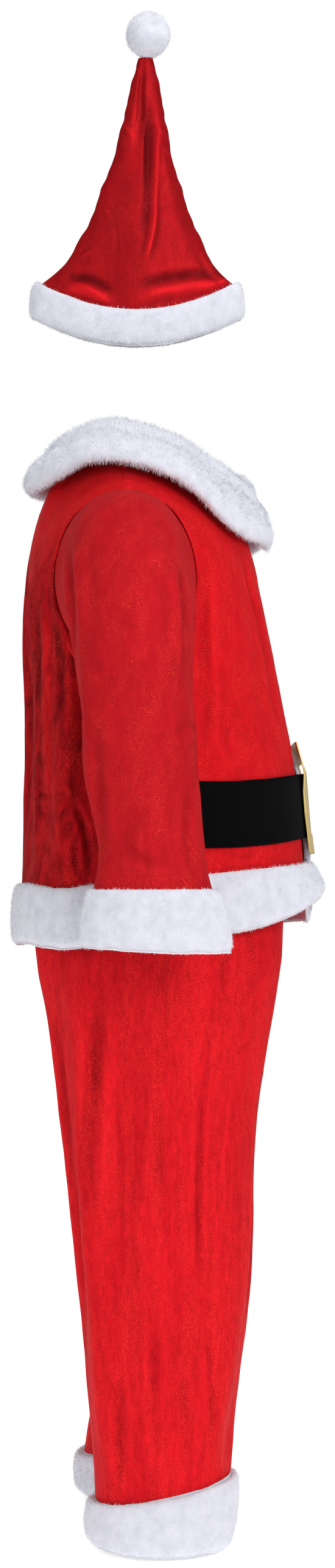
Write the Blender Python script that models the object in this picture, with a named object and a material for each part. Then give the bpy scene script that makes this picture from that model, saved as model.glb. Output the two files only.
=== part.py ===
"""A santa suit standing as it is worn, with nobody in it: hat, jacket with its belt, and trousers.

Metres, +Z up. The front faces -Y and the wearer's right side is at -X. The origin is the middle of
the neck opening, level with the tops of the shoulder seams.

Every cloth panel is a wall. Its outer face is a function of two numbers from 0 to 1, and the inner
face is the same points moved in along the normal by the cloth's thickness. Plush trims are closed
bands that reach as far as their pile does, laid on the edge of the panel that they are sewn to.
"""

import math
from collections import namedtuple

import bmesh
import bpy
from mathutils import Vector

# ---------------------------------------------------------------- driving dimensions

SEAM_GAP = 0.0003  # between two pieces that are sewn together
VELVET = 0.0016  # wall of the pile velvet
FELT = 0.0025  # wall of the belt
BUCKLE_PLATE = 0.002

RIGHT, LEFT = -1, 1  # side of the body, as the sign of x

# Jacket
JACKET_HEM_Z = -0.608  # where the back and sides are sewn to the hem band
HEM_RISE_FRONT = 0.033  # the hem lifts this much over the belly
HEM_BAND_HEIGHT = 0.064
HEM_BAND_REACH = 0.0125  # how far the pile stands off its backing
NECK_POINT = Vector((0.086, 0.022, -0.0159))  # inner end of the shoulder seam
NECK_FRONT = Vector((0.0, -0.120, -0.110))
NECK_BACK = Vector((0.0, 0.088, -0.030))
YOKE_Z = -0.205  # above this the body turns in towards the shoulders

# Belt and buckle
BELT_HEIGHT = 0.084
BELT_SIDE_Z = -0.5135  # middle of the belt at the side seams
BELT_FRONT_Z = -0.4965  # and at the centre front, over the belly
BELT_END_TURN = 0.236  # ends just short of the side seams, under the sleeves
BUCKLE_WIDTH = 0.140
BUCKLE_BORDER = 0.027

# Trousers
WAIST_Z = -0.435
WAISTBAND_HEIGHT = 0.032
LEG_HEM_Z = -1.381
LEG_CUFF_HEIGHT = 0.062
LEG_HEM_SLOPE = 0.016  # the cuff's seam is this much higher at the front and lower at the back
LEFT_FOOT_BACK = 0.024  # the left leg hangs this much behind the right one

# Hat
HAT_TILT = math.radians(12)  # the hat leans to the wearer's right
HAT_RIM_Z = 0.206
HAT_RIM_DIP = 0.036  # the rim hangs lower on the flat sides than at the seams
HAT_BAND_HEIGHT = 0.040
POM_POM_RADIUS = 0.0300
POM_POM_LEAN = 0.0035  # it sits this much to the front of the tip

# ---------------------------------------------------------------- tables

# Level rings of the jacket below the arms. front and back are distances from the origin's plane.
JacketRing = namedtuple("JacketRing", "z half_width front back")
JACKET_RINGS = [
    JacketRing(-0.630, 0.233, 0.225, 0.155),
    JacketRing(-0.560, 0.231, 0.224, 0.153),
    JacketRing(-0.500, 0.229, 0.219, 0.152),
    JacketRing(-0.430, 0.226, 0.211, 0.151),
    JacketRing(-0.360, 0.224, 0.197, 0.151),
    JacketRing(-0.300, 0.222, 0.185, 0.152),
    JacketRing(-0.240, 0.220, 0.172, 0.152),
    JacketRing(-0.180, 0.218, 0.159, 0.147),
]
JACKET_SQUARENESS = 2.35
JACKET_SIDE_Y = 0.004  # the side seams run down here

# Rings of the sleeve, from the armhole down to the cuff. tilt turns the ring from upright, as the
# armhole is, to level; half_across runs from the arm's inner side to its outer side.
SleeveRing = namedtuple("SleeveRing", "run x y z half_depth half_across tilt")
SLEEVE_RINGS = [
    SleeveRing(0.00, 0.2138, 0.0120, -0.2160, 0.0890, 0.1124, 95.0),
    SleeveRing(0.09, 0.2530, 0.0090, -0.2240, 0.0860, 0.1050, 76.0),
    SleeveRing(0.19, 0.2840, 0.0050, -0.2560, 0.0820, 0.0920, 53.0),
    SleeveRing(0.30, 0.2980, 0.0015, -0.3060, 0.0775, 0.0800, 29.0),
    SleeveRing(0.43, 0.3030, -0.0015, -0.3720, 0.0740, 0.0735, 11.0),
    SleeveRing(0.58, 0.3045, -0.0065, -0.4420, 0.0710, 0.0700, 0.0),
    SleeveRing(0.73, 0.3060, -0.0150, -0.5080, 0.0680, 0.0660, 0.0),
    SleeveRing(0.86, 0.3110, -0.0225, -0.5600, 0.0655, 0.0610, 0.0),
    SleeveRing(1.00, 0.3220, -0.0235, -0.6120, 0.0735, 0.0520, 0.0),
]
CUFF_HEIGHT = 0.062

# Level rings of one trouser leg. centre is the middle of the leg's ring from the crotch seam, so a
# ring whose half_width passes centre is cut off at the seam between the two legs.
LegRing = namedtuple("LegRing", "z centre half_width front back")
LEG_RINGS = [
    LegRing(-1.381, 0.1250, 0.0740, 0.1205, 0.0520),
    LegRing(-1.317, 0.1250, 0.0780, 0.1280, 0.0570),
    LegRing(-1.225, 0.1245, 0.0850, 0.1425, 0.0646),
    LegRing(-1.110, 0.1235, 0.0920, 0.1545, 0.0788),
    LegRing(-1.020, 0.1220, 0.0960, 0.1580, 0.0867),
    LegRing(-0.920, 0.1200, 0.1010, 0.1605, 0.0965),
    LegRing(-0.840, 0.1180, 0.1060, 0.1700, 0.1060),
    LegRing(-0.770, 0.1155, 0.1110, 0.1790, 0.1160),
    LegRing(-0.725, 0.1130, 0.1135, 0.1850, 0.1250),
    LegRing(-0.690, 0.1040, 0.1180, 0.1900, 0.1300),
    LegRing(-0.640, 0.0780, 0.1400, 0.1930, 0.1340),
    LegRing(-0.560, 0.0300, 0.1820, 0.1880, 0.1340),
    LegRing(-0.435, 0.0000, 0.1950, 0.1650, 0.1220),
]

# The hat seen from its flat side: half_length runs between the two seams, centre is the middle.
HatRing = namedtuple("HatRing", "height half_length centre half_thickness")
HAT_RINGS = [
    HatRing(0.000, 0.1325, 0.0000, 0.0500),
    HatRing(0.014, 0.1130, -0.0010, 0.0480),
    HatRing(0.032, 0.0970, -0.0030, 0.0450),
    HatRing(0.060, 0.0820, -0.0045, 0.0410),
    HatRing(0.084, 0.0690, -0.0060, 0.0370),
    HatRing(0.112, 0.0590, -0.0060, 0.0330),
    HatRing(0.160, 0.0410, -0.0080, 0.0260),
    HatRing(0.205, 0.0300, -0.0100, 0.0200),
    HatRing(0.255, 0.0200, -0.0115, 0.0140),
    HatRing(0.291, 0.0100, -0.0125, 0.0080),
]

# The collar's stations on the right half, by turn from the centre front to the centre back. The
# roll is its highest line, where it folds over at the neck, and the edge is its free lower edge.
CollarStation = namedtuple(
    "CollarStation", "turn roll_x roll_y roll_z edge_x edge_y edge_z reach"
)
COLLAR_STATIONS = [
    CollarStation(0.00, 0.008, -0.1430, -0.0740, 0.010, -0.1650, -0.1420, 0.024),
    CollarStation(0.14, 0.038, -0.1300, -0.0680, 0.074, -0.1540, -0.1480, 0.025),
    CollarStation(0.30, 0.070, -0.0960, -0.0550, 0.134, -0.1190, -0.1440, 0.025),
    CollarStation(0.45, 0.090, -0.0490, -0.0290, 0.168, -0.0580, -0.0950, 0.024),
    CollarStation(0.58, 0.098, 0.0000, -0.0130, 0.180, 0.0020, -0.0720, 0.024),
    CollarStation(0.70, 0.090, 0.0450, -0.0090, 0.170, 0.0560, -0.0690, 0.025),
    CollarStation(0.84, 0.060, 0.0820, -0.0190, 0.112, 0.1050, -0.0760, 0.027),
    CollarStation(0.92, 0.032, 0.0960, -0.0240, 0.070, 0.1250, -0.0800, 0.029),
    CollarStation(1.00, 0.000, 0.1020, -0.0250, 0.000, 0.1310, -0.0800, 0.031),
]
COLLAR_FRONT_HANG = 0.008  # in front the right end hangs this much lower, and the left one higher
COLLAR_BACK_HANG = 0.008  # and so do the free edges behind the shoulders

# Rows of the buckle from its lower edge to its upper one: side_y is where its front face is at its
# two sides, and its middle stands bow in front of that. The window runs from the second row to the
# last but one.
BuckleRow = namedtuple("BuckleRow", "z side_y bow")
BUCKLE_ROWS = [
    BuckleRow(-0.560, -0.2295, 0.0095),
    BuckleRow(-0.533, -0.2262, 0.0092),
    BuckleRow(-0.505, -0.2230, 0.0100),
    BuckleRow(-0.479, -0.2212, 0.0100),
    BuckleRow(-0.453, -0.2222, 0.0055),
    BuckleRow(-0.440, -0.2190, 0.0030),
    BuckleRow(-0.413, -0.2116, -0.0020),
]

# Sections of the plush trims: out is the distance off the backing, down runs along the band as a
# share of its height, with the pile reaching past both of its edges.
Profile = namedtuple("Profile", "out down")
BAND_PROFILE = [
    Profile(-0.08, 0.00),
    Profile(0.06, 0.00),
    Profile(0.10, -0.05),
    Profile(0.50, -0.09),
    Profile(0.90, 0.06),
    Profile(1.00, 0.40),
    Profile(0.97, 0.75),
    Profile(0.72, 1.03),
    Profile(0.30, 1.10),
    Profile(-0.05, 1.02),
]
COLLAR_PROFILE = [
    Profile(0.00, 0.90),
    Profile(0.02, 0.55),
    Profile(0.00, 0.22),
    Profile(-0.16, -0.02),
    Profile(0.02, -0.20),
    Profile(0.42, -0.17),
    Profile(0.74, 0.06),
    Profile(0.66, 0.26),
    Profile(0.90, 0.45),
    Profile(1.00, 0.72),
    Profile(0.84, 0.98),
    Profile(0.36, 1.06),
]

# Folds. depth is how far the cloth sinks in at the middle of a trough, and below 0 it is a ridge.
# turn is the place round the piece, width the trough's half width in the same share of a turn,
# low and high its ends, and lean how far it drifts round from its low end to its high end.
Fold = namedtuple("Fold", "turn width low high lean depth")
JACKET_FOLDS = [
    Fold(0.300, 0.016, -0.60, -0.16, 0.020, 0.011),
    Fold(0.340, 0.018, -0.60, -0.20, 0.010, -0.007),
    Fold(0.375, 0.016, -0.56, -0.24, -0.012, 0.009),
    Fold(0.430, 0.018, -0.60, -0.30, 0.010, 0.006),
    Fold(0.500, 0.020, -0.60, -0.22, 0.000, 0.006),
    Fold(0.565, 0.018, -0.60, -0.32, -0.008, 0.007),
    Fold(0.625, 0.017, -0.57, -0.22, 0.010, 0.009),
    Fold(0.665, 0.018, -0.60, -0.26, -0.010, -0.006),
    Fold(0.702, 0.016, -0.60, -0.18, -0.018, 0.010),
    Fold(0.190, 0.018, -0.45, -0.14, -0.030, 0.008),
    Fold(0.090, 0.020, -0.42, -0.16, -0.020, 0.004),
    Fold(0.805, 0.018, -0.46, -0.14, 0.030, 0.008),
    Fold(0.915, 0.020, -0.40, -0.16, 0.020, 0.004),
]
SLEEVE_FOLDS = [
    Fold(0.300, 0.050, 0.02, 0.45, -0.050, 0.007),
    Fold(0.420, 0.060, 0.62, 0.98, 0.060, 0.005),
    Fold(0.720, 0.055, 0.02, 0.55, 0.060, 0.008),
    Fold(0.830, 0.050, 0.30, 0.95, -0.060, 0.007),
    Fold(0.600, 0.060, 0.60, 1.00, -0.050, 0.005),
    Fold(0.200, 0.045, 0.55, 1.00, 0.040, 0.006),
]
LEG_FOLDS = [
    Fold(0.700, 0.035, -1.16, -0.68, -0.030, 0.013),
    Fold(0.640, 0.035, -1.36, -0.90, 0.020, -0.006),
    Fold(0.575, 0.035, -1.30, -0.70, -0.015, 0.008),
    Fold(0.480, 0.035, -1.37, -0.78, 0.010, 0.007),
    Fold(0.395, 0.035, -1.22, -0.66, -0.010, 0.008),
    Fold(0.310, 0.035, -1.37, -0.72, 0.015, 0.010),
    Fold(0.230, 0.035, -1.30, -0.80, -0.010, 0.007),
    Fold(0.130, 0.035, -1.34, -0.84, 0.015, 0.008),
    Fold(0.860, 0.035, -1.32, -0.80, 0.010, 0.009),
]
HAT_FOLDS = [
    Fold(0.190, 0.030, 0.02, 0.27, 0.050, 0.006),
    Fold(0.320, 0.030, 0.00, 0.20, -0.030, 0.005),
    Fold(0.110, 0.025, 0.01, 0.15, 0.020, 0.004),
    Fold(0.700, 0.030, 0.01, 0.25, 0.020, 0.006),
    Fold(0.820, 0.030, 0.00, 0.18, -0.030, 0.005),
]

# ---------------------------------------------------------------- small tools


def row_at(table, place):
    """The row of a table at any place along its first column, on a smooth curve through the rows."""
    rows = sorted(table, key=lambda row: row[0])
    place = min(max(place, rows[0][0]), rows[-1][0])
    upper = next(i for i, row in enumerate(rows) if row[0] >= place)
    upper = max(upper, 1)
    before, low, high, after = (
        rows[max(upper - 2, 0)],
        rows[upper - 1],
        rows[upper],
        rows[min(upper + 1, len(rows) - 1)],
    )
    span = high[0] - low[0]
    share = (place - low[0]) / span
    values = [place]
    for column in range(1, len(low)):
        slope_low = (high[column] - before[column]) / (high[0] - before[0])
        slope_high = (after[column] - low[column]) / (after[0] - low[0])
        values.append(
            low[column] * (1 + 2 * share) * (1 - share) ** 2
            + high[column] * (3 - 2 * share) * share**2
            + slope_low * span * share * (1 - share) ** 2
            - slope_high * span * share**2 * (1 - share)
        )
    return type(low)(*values)


def ease(share):
    """0 to 1 with a soft start and end."""
    share = min(max(share, 0.0), 1.0)
    return share * share * (3 - 2 * share)


def power(value, exponent):
    return math.copysign(abs(value) ** exponent, value)


def fold_depth(folds, turn, place):
    """How far all the folds together pull the cloth in here. Turns wrap round at 1."""
    depth = 0.0
    for fold in folds:
        along = (place - fold.low) / (fold.high - fold.low)
        fade = ease(along * 5 + 0.5) * ease((1 - along) * 4 + 0.5)
        middle = fold.turn + fold.lean * (along - 0.5)
        away = (turn - middle + 0.5) % 1.0 - 0.5
        depth += fold.depth * fade * math.exp(-((away / fold.width) ** 2))
    return depth


def shares(count):
    return [i / count for i in range(count + 1)]


def bezier(start, first, second, end, share):
    rest = 1 - share
    return (
        start * rest**3
        + first * (3 * share * rest**2)
        + second * (3 * share**2 * rest)
        + end * share**3
    )


def material(name, color, roughness, metallic=0.0):
    made = bpy.data.materials.new(name)
    made.use_nodes = True
    shader = made.node_tree.nodes["Principled BSDF"]
    shader.inputs["Base Color"].default_value = (*color, 1.0)
    shader.inputs["Roughness"].default_value = roughness
    shader.inputs["Metallic"].default_value = metallic
    made.diffuse_color = (*color, 1.0)
    return made


def finish_object(name, bm, finish, sharp_angle=math.radians(50)):
    """Turns a closed bmesh into a named object with its faces out and its round faces smooth."""
    bmesh.ops.recalc_face_normals(bm, faces=bm.faces)
    mesh = bpy.data.meshes.new(name)
    bm.to_mesh(mesh)
    bm.free()
    mesh.shade_smooth()
    mesh.set_sharp_from_angle(angle=sharp_angle)
    mesh.materials.append(finish)
    made = bpy.data.objects.new(name, mesh)
    bpy.context.scene.collection.objects.link(made)
    return made


# ---------------------------------------------------------------- walls and bands


def surface_frame(surface, across, along):
    """Point, unit tangents and unit normal of a surface. The normal is the second tangent x first."""
    step = 0.002
    tangent_across = (surface(across + step, along) - surface(across - step, along)).normalized()
    tangent_along = (surface(across, along + step) - surface(across, along - step)).normalized()
    normal = tangent_along.cross(tangent_across).normalized()
    return surface(across, along), tangent_across, tangent_along, normal


def cloth_wall(name, surface, across, along, outward, finish, thickness=VELVET):
    """One panel: a wall whose outer face is the surface, cut back half a seam gap on all its edges.

    across and along list where the panel's columns and rows run. outward is 1 or -1 and turns the
    surface's normal to the outside.
    """
    outer, inner = [], []
    for row, place in enumerate(along):
        outer_row, inner_row = [], []
        for column, turn in enumerate(across):
            point, tangent_across, tangent_along, normal = surface_frame(surface, turn, place)
            trim_across = (column == 0) - (column == len(across) - 1)
            trim_along = (row == 0) - (row == len(along) - 1)
            point = point + (tangent_across * trim_across + tangent_along * trim_along) * (
                SEAM_GAP / 2
            )
            outer_row.append(point)
            inner_row.append(point - normal * (outward * thickness))
        outer.append(outer_row)
        inner.append(inner_row)

    bm = bmesh.new()
    faces = [[[bm.verts.new(p) for p in row] for row in face] for face in (outer, inner)]
    last_row, last_column = len(along) - 1, len(across) - 1
    for face in faces:
        for row in range(last_row):
            for column in range(last_column):
                bm.faces.new(
                    (
                        face[row][column],
                        face[row][column + 1],
                        face[row + 1][column + 1],
                        face[row + 1][column],
                    )
                )
    rim = (
        [(0, column) for column in range(last_column)]
        + [(row, last_column) for row in range(last_row)]
        + [(last_row, column) for column in range(last_column, 0, -1)]
        + [(row, 0) for row in range(last_row, 0, -1)]
    )
    for here, there in zip(rim, rim[1:] + rim[:1]):
        corners = ((0, here), (0, there), (1, there), (1, here))
        bm.faces.new([faces[side][row][column] for side, (row, column) in corners])
    return finish_object(name, bm, finish)


def swept_band(name, rings, closed, finish, sharp_angle=math.radians(60)):
    """A closed solid through a list of rings of points, joined end to end or capped."""
    bm = bmesh.new()
    loops = [[bm.verts.new(point) for point in ring] for ring in rings]
    pairs = list(zip(loops, loops[1:]))
    if closed:
        pairs.append((loops[-1], loops[0]))
    else:
        bm.faces.new(loops[0])
        bm.faces.new(loops[-1])
    for here, there in pairs:
        for i in range(len(here)):
            j = (i + 1) % len(here)
            bm.faces.new((here[i], here[j], there[j], there[i]))
    return finish_object(name, bm, finish, sharp_angle)


def tufts(turn, waves, size):
    """The slow unevenness of brushed plush along a trim, from -size to size."""
    angle = 2 * math.pi * turn
    return size * (
        0.5 * math.sin(angle * waves)
        + 0.3 * math.sin(angle * (2 * waves + 1) + 1.3)
        + 0.2 * math.sin(angle * (3 * waves + 2) + 4.1)
    )


# How a plush trim is made at one place: its height, how far its pile stands off, and how far its
# lower edge swings outward.
Trim = namedtuple("Trim", "height reach swing")


def plush_band(name, surface, outward, turns, place, trim, closed, finish, plumb=None):
    """A plush trim sewn along the line at one place of a panel's surface.

    outward turns the surface's normal out. trim(turn) gives the Trim. plumb is the direction that
    the band hangs in, where it doesn't carry on the panel's own slope.
    """
    rings = []
    for turn in turns:
        edge, _, tangent_along, normal = surface_frame(surface, turn, place)
        panel_out = normal * outward
        panel_down = tangent_along if tangent_along.z < 0 else -tangent_along
        style = trim(turn)
        hang = panel_down.lerp(plumb, 0.75).normalized() if plumb else panel_down
        down = hang * math.cos(style.swing) + panel_out * math.sin(style.swing)
        out = (panel_out - down * panel_out.dot(down)).normalized()
        reach = style.reach * (1 + tufts(turn, 7, 0.08))
        seam = edge + panel_down * SEAM_GAP
        rings.append(
            [
                seam + out * (row.out * reach) + down * (row.down * style.height)
                if row.down > 0
                else seam + panel_out * (row.out * reach) + panel_down * (row.down * style.height)
                for row in BAND_PROFILE
            ]
        )
    return swept_band(name, rings, closed, finish)


# ---------------------------------------------------------------- jacket


def jacket_ring(turn, z):
    """A point of the jacket's level ring. Turn 0 is the centre front, 0.25 the right side seam."""
    ring = row_at(JACKET_RINGS, z)
    angle = 2 * math.pi * turn
    exponent = 2 / JACKET_SQUARENESS
    depth = ring.front + JACKET_SIDE_Y if math.cos(angle) > 0 else ring.back - JACKET_SIDE_Y
    return Vector(
        (
            -ring.half_width * power(math.sin(angle), exponent),
            JACKET_SIDE_Y - depth * power(math.cos(angle), exponent),
            z,
        )
    )


def armhole(angle, side):
    """A point of the armhole's oval. Angle 0 is the shoulder tip and pi the underarm, by the front."""
    first = SLEEVE_RINGS[0]
    tilt = math.radians(first.tilt)
    up = Vector((-math.cos(tilt) * -side, 0, math.sin(tilt)))
    centre = Vector((first.x * side, first.y, first.z))
    return (
        centre
        + up * (first.half_across * math.cos(angle))
        + Vector((0, -first.half_depth * math.sin(angle), 0))
    )


# How the top edge of each half panel is shared out, as shares of the quarter turn from the centre
# line to the side seam.
TopEdge = namedtuple("TopEdge", "neck_end shoulder_end")
FRONT_TOP = TopEdge(0.38, 0.60)
BACK_TOP = TopEdge(0.30, 0.58)


def jacket_top(turn):
    """(point, direction) of the panels' top edge: neckline, shoulder seam, then armhole."""
    side = RIGHT if turn < 0.5 else LEFT
    from_front = min(turn, 1 - turn)
    front = from_front <= 0.25
    quarter = from_front / 0.25 if front else (0.5 - from_front) / 0.25
    split = FRONT_TOP if front else BACK_TOP
    facing = -1 if front else 1
    centre_neck = NECK_FRONT if front else NECK_BACK
    neck_point = Vector((NECK_POINT.x * side, NECK_POINT.y, NECK_POINT.z))
    tip = armhole(0, side)
    if quarter < split.neck_end:
        share = max(quarter, 0) / split.neck_end
        angle = share * math.pi / 2
        reach_y = centre_neck.y - neck_point.y
        point = Vector(
            (
                neck_point.x * math.sin(angle),
                neck_point.y + reach_y * math.cos(angle),
                neck_point.z + (centre_neck.z - neck_point.z) * (1 - math.sin(angle)) ** 0.9,
            )
        )
        steep = 1.1 * (1 - ease(share))
    elif quarter < split.shoulder_end:
        share = (quarter - split.neck_end) / (split.shoulder_end - split.neck_end)
        point = neck_point.lerp(tip, share)
        steep = 0.0
    else:
        share = (quarter - split.shoulder_end) / (1 - split.shoulder_end)
        point = armhole(-facing * math.pi * share, side)
        steep = math.tan(ease(share) * math.radians(87))
    direction = Vector((0, -facing, steep)).normalized()
    return point, direction


def front_groove(turn, z):
    """The red fronts pillow up on both sides of the plush strip, which lies in the groove between."""
    away = min(turn, 1 - turn)
    above_belt = ease((z - BELT_FRONT_Z - BELT_HEIGHT / 2) / 0.03) * ease((-0.14 - z) / 0.04)
    under_belt = 0.25
    depth = 0.010 * (under_belt + (1 - under_belt) * above_belt)
    return depth * math.exp(-((away / 0.030) ** 4))


def hem_z(turn):
    """Height of the seam between the cloth and the hem band, all round."""
    from_front = min(turn, 1 - turn)
    rise = HEM_RISE_FRONT * (1 - ease(from_front / 0.36))
    ripple = 0.003 * math.sin(2 * math.pi * (5 * turn + 0.1)) * ease((from_front - 0.15) / 0.1)
    return JACKET_HEM_Z + rise + ripple


def jacket_surface(turn, rise):
    """Outer face of the jacket's body. rise 0 is the hem seam and 1 the top edge of the panels."""
    turn %= 1.0
    top, direction = jacket_top(turn)
    low = hem_z(turn)
    split = min(top.z - 0.09, YOKE_Z)
    split_share = 0.62
    if rise <= split_share:
        z = low + (split - low) * rise / split_share
        point = jacket_ring(turn, z)
    else:
        start = jacket_ring(turn, split)
        reach = (top - start).length
        share = (rise - split_share) / (1 - split_share)
        rising = start + Vector((0, 0, reach * 0.16))
        point = bezier(start, rising, top - direction * (reach * 0.30), top, share)
    centre = Vector((0, JACKET_SIDE_Y, point.z))
    inward = (centre - point).normalized()
    edge_fade = (1 - ease((rise - 0.86) / 0.12)) * (0.3 + 0.7 * ease((point.z - low) / 0.05))
    sink = fold_depth(JACKET_FOLDS, turn, point.z) * edge_fade + front_groove(turn, point.z)
    return point + inward * sink


JACKET_ROWS = [
    0.0, 0.07, 0.14, 0.20, 0.25, 0.33, 0.42, 0.51, 0.60, 0.66, 0.73, 0.80, 0.88, 0.95, 1.0,
]


def quarter_columns(split, neck, shoulder, arm):
    """Columns of a half panel from its centre line to the side seam, with one at each corner."""
    ends = [0.0, split.neck_end, split.shoulder_end, 1.0]
    columns = [0.0]
    for (low, high), count in zip(zip(ends, ends[1:]), (neck, shoulder, arm)):
        columns += [low + (high - low) * i / count for i in range(1, count + 1)]
    return columns


def make_jacket(velvet):
    front = [0.25 * q for q in quarter_columns(FRONT_TOP, 5, 3, 6)]
    back = [0.5 - 0.25 * q for q in quarter_columns(BACK_TOP, 4, 4, 6)]
    panels = {
        "jacket_front_right": front,
        "jacket_back": back[::-1] + [1 - turn for turn in back[1:]],
        "jacket_front_left": [1 - turn for turn in front[::-1]],
    }
    for name, columns in panels.items():
        cloth_wall(name, jacket_surface, columns, JACKET_ROWS, 1, velvet)


def make_hem_band(plush):
    """The plush band sewn round the whole hem, kicked out and rolled up on the right of the front."""

    def trim(turn):
        if turn < 0.5:
            kicked = 1 - ease(turn / 0.17)
            height = HEM_BAND_HEIGHT - 0.024 * kicked
            return Trim(height, HEM_BAND_REACH + 0.002 * kicked, math.radians(1 + 27 * kicked))
        low_front = 1 - ease((1 - turn) / 0.3)
        return Trim(HEM_BAND_HEIGHT + 0.003 * low_front, HEM_BAND_REACH, math.radians(1))

    end = 0.0012
    turns = [end + (1 - 2 * end) * share for share in shares(50)]
    plush_band("hem_band", jacket_surface, 1, turns, 0.0, trim, False, plush)


# ---------------------------------------------------------------- front strip, belt and buckle

STRIP_HALF_TURN = 0.0117  # 24 mm to each side of the centre front
STRIP_REACH = 0.0080
STRIP_BULGE = 0.0035  # how much further the pile stands out below the belt
STRIP_PROFILE = [
    Profile(0.08, -1.0),
    Profile(0.75, -0.9),
    Profile(1.00, -0.4),
    Profile(1.00, 0.4),
    Profile(0.75, 0.9),
    Profile(0.08, 1.0),
    Profile(0.08, 0.0),
]


def make_front_strip(plush):
    """The narrow plush strip down the centre front, which hides the jacket's fastening."""
    rings = []
    for rise in [0.012, 0.035, 0.055] + JACKET_ROWS[1:-1]:
        half_turn = STRIP_HALF_TURN * (1 + 0.04 * math.sin(23 * rise))
        height = jacket_surface(0.0, rise).z
        below_belt = ease((BELT_FRONT_Z - BELT_HEIGHT / 2 - height) / 0.012)
        reach = STRIP_REACH + STRIP_BULGE * below_belt
        ring = []
        for row in STRIP_PROFILE:
            point, _, _, normal = surface_frame(jacket_surface, (row.down * half_turn) % 1.0, rise)
            ring.append(point + normal * (3 * SEAM_GAP + row.out * reach))
        rings.append(ring)
    swept_band("front_strip", rings, False, plush)


def front_face(turn, z):
    """Point, tangents and normal of the jacket's outer face at a height below the chest."""

    def level(turn_here, z_here):
        wrapped = turn_here % 1.0
        point = jacket_ring(wrapped, z_here)
        inward = (Vector((0, JACKET_SIDE_Y, z_here)) - point).normalized()
        sink = fold_depth(JACKET_FOLDS, wrapped, z_here) + front_groove(wrapped, z_here)
        return point + inward * sink

    return surface_frame(level, turn, z)


def belt_surface(turn, share):
    """Outer face of the belt. Turn runs from the right end to the left end through 0."""
    middle = BELT_SIDE_Z + (BELT_FRONT_Z - BELT_SIDE_Z) * (1 - ease(abs(turn) / 0.19))
    z = middle + BELT_HEIGHT * (share - 0.5)
    point, _, _, normal = front_face(turn, z)
    over_strip = (STRIP_REACH + 3 * SEAM_GAP) * math.exp(-((turn / 0.028) ** 6))
    slack = 0.0010 + over_strip + FELT
    return point + normal * slack


def make_belt(felt):
    columns = [BELT_END_TURN * (2 * share - 1) for share in shares(36)]
    cloth_wall("belt", belt_surface, columns, shares(3), 1, felt, FELT)


def make_buckle(gold):
    """A plain rectangular frame, bowed round the belly, whose top leans in above the belt."""
    half, window = BUCKLE_WIDTH / 2, BUCKLE_WIDTH / 2 - BUCKLE_BORDER
    columns = [-half, -window, -window / 2, 0.0, window / 2, window, half]
    bm = bmesh.new()
    grid = {}
    for i, x in enumerate(columns):
        for j, row in enumerate(BUCKLE_ROWS):
            front = row.side_y - row.bow * (1 - (x / half) ** 2)
            for k, depth in enumerate((BUCKLE_PLATE, 0.0)):
                grid[i, j, k] = bm.verts.new((x, front + depth, row.z))
    last_i, last_j = len(columns) - 1, len(BUCKLE_ROWS) - 1

    def solid(i, j):
        window = 1 <= i < last_i - 1 and 1 <= j < last_j - 1
        return 0 <= i < last_i and 0 <= j < last_j and not window

    for i in range(last_i):
        for j in range(last_j):
            if not solid(i, j):
                continue
            for k in (0, 1):
                corners = ((i, j), (i + 1, j), (i + 1, j + 1), (i, j + 1))
                bm.faces.new([grid[*corner, k] for corner in corners])
            for (di, dj), (a, b) in (
                ((-1, 0), ((i, j), (i, j + 1))),
                ((1, 0), ((i + 1, j), (i + 1, j + 1))),
                ((0, -1), ((i, j), (i + 1, j))),
                ((0, 1), ((i, j + 1), (i + 1, j + 1))),
            ):
                if not solid(i + di, j + dj):
                    bm.faces.new([grid[corner] for corner in ((*a, 0), (*b, 0), (*b, 1), (*a, 1))])
    loose = [vert for vert in bm.verts if not vert.link_faces]
    bmesh.ops.delete(bm, geom=loose, context="VERTS")
    finish_object("buckle", bm, gold, math.radians(35))


# ---------------------------------------------------------------- sleeves


def sleeve_surface(side):
    """Outer face of a sleeve: turn runs inner, front, outer, back, and run from armhole to cuff."""

    def surface(turn, run):
        ring = row_at(SLEEVE_RINGS, run)
        tilt = math.radians(ring.tilt)
        across = Vector((math.cos(tilt) * side, 0, math.sin(tilt)))
        angle = 2 * math.pi * turn
        away = -across * math.cos(angle) * ring.half_across
        away += Vector((0, -ring.half_depth * math.sin(angle), 0))
        fade = ease(run / 0.06) * ease((1 - run) / 0.05)
        inner_side = 1 - 0.9 * math.exp(-((min(turn, 1 - turn) / 0.13) ** 2))
        sink = fold_depth(SLEEVE_FOLDS, turn, run) * fade * inner_side
        centre = Vector((ring.x * side, ring.y, ring.z))
        return centre + away * (1 - sink / away.length)

    return surface


def cuff_trim(turn):
    """The sleeve's trim: it flares a little to the front and lies flatter at the back."""
    to_front = math.sin(2 * math.pi * turn)
    return Trim(CUFF_HEIGHT + 0.004 * to_front, 0.0105, math.radians(2 + 2 * to_front))


def make_sleeves(velvet, plush):
    rows = [0.0, 0.05, 0.10, 0.16, 0.23, 0.31, 0.40, 0.50, 0.60, 0.70, 0.79, 0.87, 0.94, 1.0]
    for side, name in ((RIGHT, "right"), (LEFT, "left")):
        surface = sleeve_surface(side)

        def set_in(turn, run):
            """The sleeve with its head held just off the armhole's edge."""
            off = 0.0006 * max(0.0, 1 - run / 0.05)
            return surface(turn, run) + Vector((side * off, 0, 0))

        cloth_wall("sleeve_" + name, set_in, shares(24), rows, side, velvet)
        plush_band("cuff_" + name, surface, side, shares(24)[:-1], 1.0, cuff_trim, True, plush)


# ---------------------------------------------------------------- collar


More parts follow.
